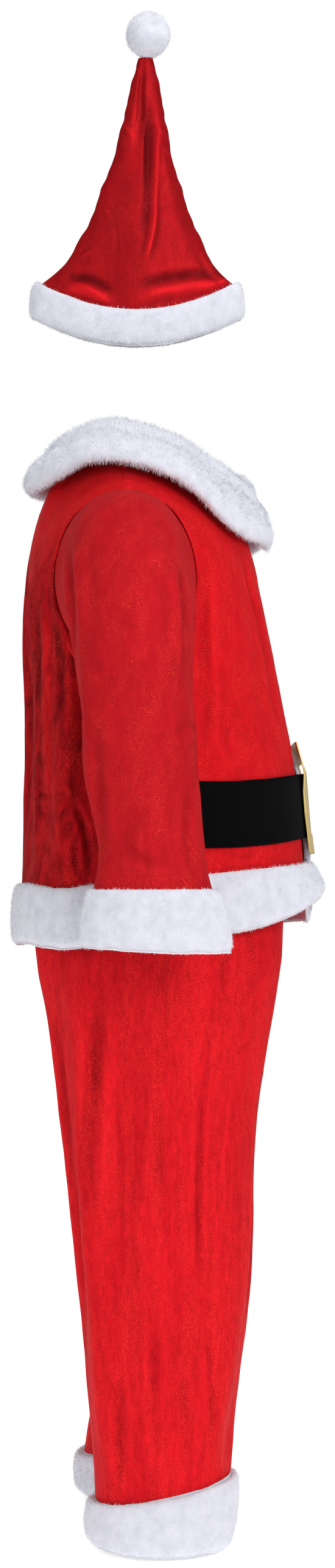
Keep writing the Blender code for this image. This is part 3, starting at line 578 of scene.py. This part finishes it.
BACK_CREASES = [
    Crease("right", [(130, -223), (132, -330), (131, -437), (125, -545)], 9, 6),
    Crease("right", [(116, -200), (112, -322), (110, -430), (107, -507)], 6, -3),
    Crease("right", [(99, -253), (95, -330), (93, -407)], 6, 4),
    Crease("right", [(133, -483), (109, -488), (79, -485)], 3.5, 2.5),
    Crease("right", [(128, -507), (101, -513), (74, -506)], 3, 2),
    Crease("right", [(79, -491), (66, -522), (58, -560), (55, -591)], 4, 3),
    Crease("right", [(68, -598), (75, -566), (71, -536)], 3.5, 2),
    Crease("left", [(134, -210), (131, -318), (134, -441), (127, -556)], 8, 5),
    Crease("left", [(118, -232), (113, -341), (115, -455)], 6, -3),
    Crease("left", [(97, -268), (92, -352), (96, -449)], 6, 4.5),
    Crease("left", [(131, -497), (104, -491), (82, -499)], 3.5, 2.5),
    Crease("left", [(81, -508), (69, -541), (62, -583)], 4, 3),
    Crease("back", [(-88, -170), (-80, -290), (-92, -420), (-84, -560)], 8, 4),
    Crease("back", [(-18, -230), (-26, -350), (-14, -500)], 7, 3),
    Crease("back", [(24, -300), (31, -430), (22, -575)], 7, -2.5),
    Crease("back", [(78, -150), (88, -260), (80, -410), (90, -550)], 8, 4.5),
    Crease("back", [(-60, -455), (-22, -470), (18, -462)], 4, 2),
    Crease("back", [(96, -132), (70, -120), (44, -124)], 4, 1.5),
    Crease("back", [(-104, -128), (-78, -117), (-50, -126)], 4, 1.5),
]
jacket_back = cloth_panel("jacket_back_velvet", "jacket_back", back_velvet, BACK_CREASES)

FRONT_CREASES = {
    "right": [
        Crease("right", [(-92, -190), (-86, -280), (-90, -370), (-84, -440)], 6, 2.5),
        Crease("right", [(-118, -330), (-112, -390), (-121, -450)], 5, 2),
        Crease("front", [(-62, -150), (-48, -230), (-58, -330)], 7, 2),
        Crease("front", [(-120, -170), (-104, -270), (-116, -400)], 7, 3),
        Crease("right", [(-100, -556), (-132, -566), (-160, -560)], 4, 1.5),
    ],
    "left": [
        Crease("left", [(-90, -205), (-84, -300), (-93, -420)], 6, 2.5),
        Crease("left", [(-120, -300), (-110, -370), (-117, -452)], 5, 2),
        Crease("front", [(56, -165), (66, -260), (52, -350)], 7, 2),
        Crease("front", [(116, -150), (108, -260), (120, -390)], 7, 3),
        Crease("left", [(-95, -560), (-128, -570), (-158, -564)], 4, 1.5),
    ],
}
for side, creases in FRONT_CREASES.items():
    name = f"jacket_front_{side}"
    front = cloth_panel(f"{name}_velvet", name, front_velvet, creases)

# ---------------------------------------------------------------- sleeves
# Each sleeve is one tapering piece of the velvet with one seam under the arm, set into the armhole.
# The arm hangs down, so the sleeve caves in behind and before the shoulder and again at the elbow.

# The pile is steamed flat, so it is even and a shade deeper than on the fronts.
sleeve_velvet = knitted_velvet(
    "pile_velvet_steamed_flat", "#94141B", "#C41C25", 0.8, 0.4, 0.9, 0.12
)

SLEEVE_CREASES = {
    "right": [
        Crease("right", [(80, -175), (77, -223), (73, -281), (74, -345)], 3.5, 6),
        Crease("right", [(66, -180), (62, -240), (58, -310)], 6, -2.5),
        Crease("right", [(-56, -215), (-62, -275), (-62, -345)], 3.5, 5),
        Crease("right", [(-46, -220), (-50, -280), (-50, -330)], 5, -2),
        Crease("right", [(17, -557), (-5, -566), (-26, -582)], 6, 2.5),
        Crease("right", [(44, -400), (41, -490), (37, -565)], 6, 3),
        Crease("right", [(-66, -400), (-52, -420), (-30, -426)], 5, 1.6),
        Crease("right", [(52, -330), (36, -352), (10, -360)], 5, 1.5),
        Crease("right", [(-70, -470), (-64, -530), (-72, -600)], 5, 2.5),
        Crease("left", [(40, -250), (46, -330), (38, -420)], 6, 3),
        Crease("left", [(-30, -300), (-38, -390), (-30, -480)], 6, 3),
        Crease("back", [(-300, -380), (-318, -396), (-340, -392)], 5, 2.5),
        Crease("front", [(-345, -400), (-322, -412), (-300, -404)], 5, 2.5),
    ],
    "left": [
        Crease("left", [(78, -182), (75, -235), (72, -300), (75, -350)], 3.5, 6),
        Crease("left", [(64, -190), (60, -252), (57, -320)], 6, -2.5),
        Crease("left", [(-58, -225), (-63, -290), (-60, -350)], 3.5, 5),
        Crease("left", [(-47, -228), (-50, -290), (-48, -338)], 5, -2),
        Crease("left", [(24, -548), (0, -561), (-20, -572)], 6, 2.5),
        Crease("left", [(46, -410), (39, -500), (40, -572)], 6, 3),
        Crease("left", [(-62, -388), (-48, -408), (-24, -412)], 5, 1.8),
        Crease("left", [(50, -345), (32, -362), (12, -366)], 5, 1.5),
        Crease("left", [(-68, -462), (-66, -528), (-74, -590)], 5, 2.5),
        Crease("right", [(38, -260), (45, -345), (36, -430)], 6, 3),
        Crease("right", [(-28, -310), (-36, -400), (-32, -490)], 6, 3),
        Crease("back", [(298, -372), (320, -388), (342, -380)], 5, 2.5),
        Crease("front", [(345, -392), (320, -406), (298, -398)], 5, 2.5),
    ],
}
for side, creases in SLEEVE_CREASES.items():
    name = f"sleeve_{side}"
    sleeve = cloth_panel(f"{name}_velvet", name, sleeve_velvet, creases)

# ---------------------------------------------------------------- trousers
# Two wide straight legs, joined at the seat, under a casing gathered by an elastic. They hang in
# long shallow folds that start and end at different heights.

# The pile is as it came off the roll, bright, and streaked down the leg where it has hung.
leg_velvet = knitted_velvet(
    "pile_velvet_fresh_off_the_roll", "#8E0E15", "#EE202A", 0.65, 0.7, 1.2, 0.10,
    painted_glint_strength=0.9, hang=0.12
)

LEG_CREASES = {
    "right": [
        Crease("right", [(44, -722), (51, -836), (57, -913), (62, -1029)], 9, 4),
        Crease("right", [(-31, -860), (-32, -925), (-29, -980)], 7, 2),
        Crease("right", [(-83, -820), (-82, -920), (-80, -1030), (-84, -1120)], 4, 3),
        Crease("right", [(-112, -690), (-113, -740)], 5, 2),
        Crease("right", [(-125, -815), (-144, -802)], 4, 1.5),
        Crease("right", [(19, -1226), (20, -1300), (17, -1366)], 6, 3),
        Crease("right", [(-26, -1150), (-25, -1240), (-28, -1330)], 6, 2.5),
        Crease("right", [(-93, -1157), (-98, -1240), (-99, -1290)], 5, 2),
        Crease("right", [(70, -1120), (66, -1230), (60, -1330)], 7, 3),
        Crease("front", [(-60, -760), (-70, -900), (-66, -1060)], 8, 3),
        Crease("front", [(-130, -820), (-124, -980), (-134, -1180)], 8, 3),
        Crease("back", [(-70, -700), (-84, -880), (-76, -1080)], 9, 4),
        Crease("back", [(-140, -760), (-132, -930), (-142, -1150)], 8, 3),
    ],
    "left": [
        Crease("left", [(46, -735), (54, -850), (58, -940), (64, -1060)], 9, 4),
        Crease("left", [(-28, -845), (-34, -930), (-27, -1010)], 7, 2),
        Crease("left", [(-86, -800), (-80, -910), (-83, -1020), (-78, -1100)], 4, 3),
        Crease("left", [(-110, -700), (-115, -765)], 5, 2),
        Crease("left", [(24, -1210), (18, -1290), (22, -1360)], 6, 3),
        Crease("left", [(-22, -1140), (-29, -1250), (-24, -1340)], 6, 2.5),
        Crease("left", [(-90, -1170), (-96, -1260)], 5, 2),
        Crease("left", [(72, -1130), (64, -1245), (62, -1340)], 7, 3),
        Crease("front", [(62, -780), (72, -910), (60, -1080)], 8, 3),
        Crease("front", [(128, -800), (136, -990), (126, -1170)], 8, 3),
        Crease("back", [(74, -720), (82, -890), (70, -1060)], 9, 4),
        Crease("back", [(138, -750), (146, -940), (136, -1130)], 8, 3),
    ],
}
for side, creases in LEG_CREASES.items():
    name = f"trouser_leg_{side}"
    leg = cloth_panel(f"{name}_velvet", name, leg_velvet, creases)

# ---------------------------------------------------------------- hat
# Two velvet triangles, sewn to a tall soft cone. Nothing fills it, so it hangs in one long valley
# down its middle, with small sharp creases at the seams and a bulge along the rim.

# The pile is pressed flat and glossy; its colour is painted deep, a painted shade over the hat, and it
# is bright along its ridges from its gloss and from a painted highlight.
hat_velvet = knitted_velvet(
    "pile_velvet_glossy_with_painted_shade", "#640E14", "#C01A21", 0.5, 0.3, 0.35, 0.45,
    rough=(0.52, 0.38), painted_glint_strength=0.45, crease_shading_strength=0.8
)

HAT_CREASES = {
    "right": [
        Crease("right", [(-13, 450), (-15, 370), (-13, 305), (-6, 249)], 8, 4),
        Crease("right", [(-26, 412), (-25, 330), (-21, 264), (-9, 220)], 4, -4),
        Crease("right", [(18, 410), (11, 398), (4, 388)], 2.5, -1.6),
        Crease("right", [(-26, 398), (-34, 392), (-43, 387)], 2.5, -1.6),
        Crease("right", [(-34, 374), (-41, 370), (-47, 365)], 2.5, -1.6),
        Crease("right", [(46, 302), (41, 296), (36, 290)], 2.5, -1.6),
        Crease("right", [(76, 235), (68, 241), (60, 243)], 2.5, -1.6),
        Crease("right", [(-85, 249), (-98, 225), (-114, 208), (-130, 195)], 4, -2.5),
        Crease("right", [(100, 196), (68, 190), (36, 170)], 8, -6),
        Crease("right", [(98, 211), (62, 206), (30, 186)], 6, 2),
        Crease("right", [(15, 173), (-49, 190), (-110, 200), (-130, 197)], 8, -6),
        Crease("right", [(6, 190), (-52, 208), (-104, 216)], 6, 2),
        Crease("right", [(27, 300), (25, 216), (27, 172)], 1.8, 0.9),
        Crease("right", [(-6, 488), (-7, 440), (-6, 402)], 3, 1.2),
    ],
    "left": [
        Crease("left", [(-4, 455), (-9, 380), (-4, 300), (4, 240)], 8, 4),
        Crease("left", [(-17, 400), (-19, 330), (-12, 260), (0, 215)], 4, -2.5),
        Crease("left", [(20, 402), (12, 392), (6, 380)], 2.5, -1.6),
        Crease("left", [(-24, 392), (-33, 388), (-41, 380)], 2.5, -1.6),
        Crease("left", [(42, 312), (38, 302), (32, 296)], 2.5, -1.6),
        Crease("left", [(-70, 262), (-86, 240), (-100, 216)], 4, -2.5),
        Crease("left", [(104, 198), (66, 188), (30, 172)], 8, -5),
        Crease("left", [(8, 174), (-52, 188), (-112, 198)], 8, -5),
        Crease("left", [(2, 190), (-50, 206), (-100, 214)], 6, 2),
        Crease("left", [(34, 290), (30, 230), (33, 178)], 1.8, 0.9),
    ],
}
for side, creases in HAT_CREASES.items():
    name = f"hat_panel_{side}"
    cone = cloth_panel(f"{name}_velvet", name, hat_velvet, creases, wavy=True)

# ---------------------------------------------------------------- plush trims
# Strips of long white fake fur, folded into soft rolls and sewn over the raw edges of the velvet:
# the hat's band, the collar, the cuffs, the front edge, the hem and the trouser cuffs.

PLUSH_INSET = 0.0014  # the backing and packed roots of the pile lie this deep
PLUSH_SINK = 0.0004  # and this much deeper where no cloth is near
PLUSH_LUMP = 0.0012
PLUSH_LUMP_SIZE = 0.020
FINE_PLUSH_LUMP = 0.4 * PLUSH_LUMP
INSET_FADE = (0.0005, 0.008)  # the skin comes up to its solid this near to the cloth under it
PLUSH_FADE = (0.001, 0.006)  # and the lumps fade out
LOCK_SIZE = 0.0065  # tufts of pile that lean together
PILE_LENGTH = 0.0045
PILE_WIDTH = 0.0006  # a fibre is 0.03 mm thick, so each spike drawn stands for a small tuft
# A tuft's lean is a mix of these: straight out, with its lock, with its clump, and its own way.
STAND, LOCK_LEAN, CLUMP_LEAN, STRAY_LEAN = 0.50, 0.42, 0.35, 0.14
CLUMP_SIZE = 3.5 * LOCK_SIZE
PILE_FLOOR = 0.002  # no tip is further than this under the solids' lowest point
LEAST_TUFT, TUFT_SPREAD = 0.55, 0.45  # shares of the pile's length: the shortest, and how much more
TUFT_RIDGE = 0.2  # a share of its width
CLOTH_SEARCH = 1.15  # a tuft looks this many of its lengths ahead for cloth
CLOTH_GAP = 0.12  # and stops this share of its length short of it
LEAST_FREE = 0.3  # with less of its length free than this, a tuft is left out
LEAST_RISE = 0.12  # and so is one that hardly rises from the skin
SKIN_CLEAR = 0.001  # a search starts this far off the skin that it is on
PILE_DENSITY = 0.175e6  # tufts on a square metre
HIDDEN_SHARE = 0.08  # of them where the pile lies against cloth
HIDDEN_REACH = 0.012  # how near that cloth is
INNER_SHARE = 0.15  # of them where a roll faces its own other side across the opening
INNER_REACH = 0.50  # how far across an opening that other side is looked for
# Vector noise takes its offsets from Blender's own generator, which starts from the clock unless set.
NOISE_SEED = 5
noise.seed_set(NOISE_SEED)


def lock_leans(points, size, seed):
    """The way that the pile leans at each point, shared by the tufts of one lock."""
    shift = Vector((seed, 0, 2.7 * seed))
    return np.array([noise.noise_vector(Vector(p) / size + shift) for p in points])


def closed_skin(node):
    """A whole solid of the frame as points and faces."""
    bm = paired_solid(node)
    bm.verts.index_update()
    points = np.array([v.co for v in bm.verts])
    faces = [[v.index for v in f.verts] for f in bm.faces]
    bm.free()
    return points, faces


cloth_points = np.concatenate([outer for outer, _ in dressed.values()])
cloth_quads, start = [], 0
for outer, quads in dressed.values():
    cloth_quads.append(quads + start)
    start += len(outer)
cloth_tree = BVHTree.FromPolygons(
    [tuple(p) for p in cloth_points], np.concatenate(cloth_quads).tolist()
)


def pile(name, points, quads, finish, seed, length, density, droop):
    """Short tapering tufts that stand on a skin, lean in locks and stop at any cloth they meet."""
    random = np.random.default_rng(seed)
    normals = point_normals(points, quads)
    first = np.concatenate([quads[:, [0, 1, 2]], quads[:, [0, 2, 3]]])
    corners = points[first]
    areas = np.linalg.norm(
        np.cross(corners[:, 1] - corners[:, 0], corners[:, 2] - corners[:, 0]), axis=1
    ) / 2
    count = int(areas.sum() * density)
    chosen = np.searchsorted(np.cumsum(areas), random.random(count) * areas.sum())
    chosen = np.minimum(chosen, len(first) - 1)
    shares = random.random((count, 2))
    over = shares.sum(axis=1) > 1
    shares[over] = 1 - shares[over]
    weights = np.column_stack([1 - shares.sum(axis=1), shares])[:, :, None]
    roots = (points[first[chosen]] * weights).sum(axis=1)
    out = (normals[first[chosen]] * weights).sum(axis=1)
    out /= np.linalg.norm(out, axis=1, keepdims=True)
    down = np.array([0, 0, -1.0]) + out * out[:, 2:]
    laid = droop * np.clip(1 - 1.5 * out[:, 2:], 0, 1)  # on an upper edge the pile stands up
    ways = STAND * out + laid * down + LOCK_LEAN * lock_leans(roots, LOCK_SIZE, seed)
    ways += CLUMP_LEAN * lock_leans(roots, CLUMP_SIZE, seed + 5)
    ways += STRAY_LEAN * random.normal(size=(count, 3))
    ways /= np.linalg.norm(ways, axis=1, keepdims=True)
    reach = length * (LEAST_TUFT + TUFT_SPREAD * random.random(count))
    own_tree = BVHTree.FromPolygons([tuple(p) for p in points], quads.tolist())
    free = np.ones(count)
    luck = random.random(count)
    for i in range(count):
        share = 1
        if cloth_tree.ray_cast(Vector(roots[i]), Vector(out[i]), HIDDEN_REACH)[0]:
            share = HIDDEN_SHARE
        elif own_tree.ray_cast(
            Vector(roots[i] + SKIN_CLEAR * out[i]), Vector(out[i]), INNER_REACH
        )[0]:
            share = INNER_SHARE
        if luck[i] > share:
            free[i] = 0
            continue
        hit = cloth_tree.ray_cast(Vector(roots[i]), Vector(ways[i]), reach[i] * CLOTH_SEARCH)[3]
        if hit is not None:
            free[i] = hit / reach[i] - CLOTH_GAP
    keep = (free > LEAST_FREE) & ((ways * out).sum(axis=1) > LEAST_RISE)
    roots, out, ways, reach = roots[keep], out[keep], ways[keep], (reach * free)[keep]
    # A tuft is a flat blade with a low ridge, its broad face turned out as combed pile lies.
    side = np.cross(ways, out)
    side /= np.linalg.norm(side, axis=1, keepdims=True)
    ridge = np.cross(side, ways)
    left = roots + PILE_WIDTH / 2 * side
    right = roots - PILE_WIDTH / 2 * side
    top = roots + TUFT_RIDGE * PILE_WIDTH * ridge
    tips = roots + ways * reach[:, None]
    tips[:, 2] = np.maximum(tips[:, 2], solid_low.z - PILE_FLOOR)
    corners = np.stack([left, right, top, tips], axis=1).reshape(-1, 3)
    base = np.arange(len(roots))[:, None] * 4
    facing = ([0, 3, 2], [2, 3, 1], [1, 3, 0], [0, 2, 1])
    tufts = mesh_object(
        name, corners, np.concatenate([base + c for c in facing], axis=1).reshape(-1, 3), finish
    )
    tufts.data.shade_flat()
    tufts.visible_shadow = False  # fibres this fine let the light through
    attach(tufts, "root")
    return tufts


def plush_trim(
    name, node, seed, levels=2, length=PILE_LENGTH, density=PILE_DENSITY, droop=0.7, inset=PLUSH_INSET
):
    """A roll of plush on one solid's form: a lumpy packed skin a little inside it, and its pile."""
    points, quads = rounded(*closed_skin(node), levels)
    normals = point_normals(points, quads)
    gap = np.empty(len(points))
    for i, point in enumerate(points):
        gap[i] = cloth_tree.find_nearest(Vector(point))[3]
    inset = inset * soft_step(*INSET_FADE, gap)
    lift = PLUSH_LUMP * lumps(points, PLUSH_LUMP_SIZE, seed) - PLUSH_SINK
    lift += FINE_PLUSH_LUMP * lumps(points, PLUSH_LUMP_SIZE / 3, seed + 2)
    skin = points + normals * (lift * soft_step(*PLUSH_FADE, gap) - inset)[:, None]
    backing = mesh_object(f"{name}_skin", skin, quads, packed_plush)
    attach(backing, "root")
    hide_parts(node)
    return backing, pile(f"{name}_pile", skin, quads, loose_plush, seed, length, density, droop)


def fake_fur(name, low, high, bump, soak):
    """Acrylic fake fur, knitted with a cut and combed pile: matt, with a soft blue-grey painted shade
    between locks.
    """
    made, tree, shader = new_material(
        name,
        {
            "Roughness": 0.95,
            "IOR": 1.5,
            "Specular IOR Level": 0.15,
            "Sheen Weight": 0.15,
            "Sheen Roughness": 0.6,
            "Subsurface Weight": soak,
            "Subsurface Radius": (1.0, 1.0, 1.0),
            "Subsurface Scale": 0.004,
        },
    )
    place = add(tree, "ShaderNodeTexCoord").outputs["Object"]
    locks = add(
        tree,
        "ShaderNodeTexNoise",
        {"Scale": 1 / 0.016, "Detail": 4, "Roughness": 0.6},
        {"Vector": place},
    ).outputs[0]
    shade = add(
        tree, "ShaderNodeMapRange", {"From Min": 0.32, "From Max": 0.6}, {"Value": locks}
    ).outputs[0]
    color = add(
        tree,
        "ShaderNodeMix",
        {"data_type": "RGBA", 6: linear(low), 7: linear(high)},
        {0: shade},
    ).outputs[2]
    tree.links.new(color, shader.inputs["Base Color"])
    fibres = add(
        tree, "ShaderNodeTexNoise", {"Scale": 1 / 0.0018, "Detail": 3}, {"Vector": place}
    ).outputs[0]
    raised = add(
        tree, "ShaderNodeBump", {"Strength": bump, "Distance": 0.0012}, {"Height": fibres}
    ).outputs[0]
    tree.links.new(raised, shader.inputs["Normal"])
    return made


# The imported roots are painted a shade darker than the combed pile, a painted shade deep in the fur, so
# the locks stand out from them.
packed_plush = fake_fur("packed_roots_of_acrylic_fake_fur", "#C3C5CF", "#CFD0D9", 0.25, 0.6)
loose_plush = fake_fur("combed_pile_of_acrylic_fake_fur", "#C8CAD3", "#D6D7DE", 0.0, 0.0)

Roll = namedtuple("Roll", "name seed flat length droop")
for roll in [
    Roll("hat_band", 11, (0.62, 0.046), PILE_LENGTH, 0.7),
    Roll("collar", 12, (0.72, 0.13), 0.0070, 1.0),
    Roll("cuff_right", 13, (0.44, 0.070), PILE_LENGTH, 0.7),
    Roll("cuff_left", 14, (0.44, 0.070), PILE_LENGTH, 0.7),
    Roll("front_strip", 15, (0.048, 0.48), 0.003, 1.3),
    Roll("hem_band", 16, (1.42, 0.075), PILE_LENGTH, 0.7),
    Roll("leg_cuff_right", 17, (0.60, 0.075), PILE_LENGTH, 0.7),
    Roll("leg_cuff_left", 18, (0.60, 0.075), PILE_LENGTH, 0.7),
]:
    backing, tufts = plush_trim(
        roll.name, roll.name, roll.seed, length=roll.length, droop=roll.droop
    )

# ---------------------------------------------------------------- pom-pom
# A ball of the same pile, gathered round a wad of stuffing and sewn to the tip of the hat.

ball, tufts = plush_trim("pom_pom", "pom_pom", 21, length=0.0036, droop=0.1, inset=0.0012)

# ---------------------------------------------------------------- belt
# A straight strip of thick black needle felt, cut with raw edges. It runs round the front alone and
# ends just short of the side seams, under the sleeves.

# Wool felt, tangled by needles: quite matt, so it swallows the light, with a slight nap.
felt, tree, shader = new_material(
    "needle_punched_black_wool_felt",
    {
        "Base Color": linear("#0B0B0C"),
        "Roughness": 1.0,
        "Specular IOR Level": 0.0,
        "Sheen Weight": 0.015,
        "Sheen Roughness": 0.5,
    },
)
place = add(tree, "ShaderNodeTexCoord").outputs["Object"]
needled = add(
    tree, "ShaderNodeTexNoise", {"Scale": 1 / 0.0016, "Detail": 4, "Roughness": 0.7}, {"Vector": place}
).outputs[0]
matted = add(
    tree, "ShaderNodeBump", {"Strength": 0.6, "Distance": 0.0005}, {"Height": needled}
).outputs[0]
tree.links.new(matted, shader.inputs["Normal"])


def refined(points, faces, levels):
    """The same faces cut finer with no change of form, for a piece with straight cut edges."""
    mesh = bpy.data.meshes.new("refining")
    mesh.from_pydata([tuple(p) for p in points], [], faces)
    shell = bpy.data.objects.new("refining", mesh)
    bpy.context.scene.collection.objects.link(shell)
    finer = shell.modifiers.new("finer", "SUBSURF")
    finer.subdivision_type = "SIMPLE"
    finer.levels = levels
    dense = evaluated(shell)
    bpy.data.objects.remove(shell)
    bpy.data.meshes.remove(mesh)
    return dense


BELT_WAVE = 0.0006  # the edges were cut by hand and the felt has taken a slight set
BELT_WAVE_SIZE = 0.030
BELT_NICK = 0.3 * BELT_WAVE  # finer unevenness of the felt
BELT_NICK_SIZE = 0.006
points, faces = refined(*closed_skin("belt"), 1)
wave = BELT_WAVE * lumps(points, BELT_WAVE_SIZE, 31)
wave += BELT_NICK * lumps(points, BELT_NICK_SIZE, 32)
belt = mesh_object("belt_felt", points + point_normals(points, faces) * wave[:, None], faces, felt)
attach(belt, "root")
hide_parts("belt")

# ---------------------------------------------------------------- buckle
# One plain rectangular plate with a single window, bowed round the belly, its edges rounded by the
# gold coat. It lies over the middle of the belt, and its top leans in above it.

# Plastic with a vacuum coat of gold: a satin shine, paler and softer than metal, slightly rippled.
gold, tree, shader = new_material(
    "vacuum_coated_gold_plastic",
    {
        "Base Color": linear("#D8BC74"),
        "Metallic": 0.55,
        "Roughness": 0.36,
        "Coat Weight": 0.15,
        "Coat Roughness": 0.3,
    },
)
place = add(tree, "ShaderNodeTexCoord").outputs["Object"]
ripple = add(tree, "ShaderNodeTexNoise", {"Scale": 1 / 0.012, "Detail": 2}, {"Vector": place}).outputs[0]
moulded = add(
    tree, "ShaderNodeBump", {"Strength": 0.12, "Distance": 0.001}, {"Height": ripple}
).outputs[0]
tree.links.new(moulded, shader.inputs["Normal"])

BUCKLE_EDGE = 0.0006  # how far its edges are rounded
FLAT_ANGLE = math.radians(3)  # faces within this angle are one face of the plate
EDGE_ANGLE = math.radians(40)  # edges sharper than this are rounded
SHADE_ANGLE = math.radians(35)  # and the shading breaks at edges sharper than this
bm = welded_solid("buckle")
bmesh.ops.dissolve_limit(bm, angle_limit=FLAT_ANGLE, verts=bm.verts, edges=bm.edges)
sharp = [e for e in bm.edges if len(e.link_faces) == 2 and e.calc_face_angle() > EDGE_ANGLE]
bmesh.ops.bevel(
    bm, geom=sharp, offset=BUCKLE_EDGE, segments=2, profile=0.6, affect="EDGES", clamp_overlap=True
)
buckle_mesh = bpy.data.meshes.new("buckle_plate")
bm.to_mesh(buckle_mesh)
bm.free()
buckle_mesh.materials.append(gold)
buckle_mesh.shade_smooth()
buckle_mesh.set_sharp_from_angle(angle=SHADE_ANGLE)
buckle = bpy.data.objects.new("buckle_plate", buckle_mesh)
bpy.context.scene.collection.objects.link(buckle)
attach(buckle, "root")
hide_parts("buckle")

# ---------------------------------------------------------------- waistband
# The top of the trousers, turned over into a casing for a flat elastic that gathers it.

GATHER = 0.0013  # how far the gathered velvet stands in and out
GATHERS = 74  # pleats round the waist
GATHER_FILL = 0.8  # the elastic keeps them from standing out in full
GATHER_DRIFT = 2.2  # how far a pleat strays from an even spacing
GATHER_DRIFT_SIZE = 0.030
points, faces = refined(*closed_skin("waistband"), 2)
turn = np.arctan2(points[:, 1] - points[:, 1].mean(), points[:, 0] - points[:, 0].mean())
pleat = np.sin(GATHERS * turn + GATHER_DRIFT * lumps(points, GATHER_DRIFT_SIZE, 41))
height = (points[:, 2] - points[:, 2].min()) / np.ptp(points[:, 2])
swell = GATHER * pleat * np.sin(math.pi * height) * GATHER_FILL
casing = mesh_object(
    "waistband_casing", points + point_normals(points, faces) * swell[:, None], faces, leg_velvet
)
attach(casing, "root")
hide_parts("waistband")
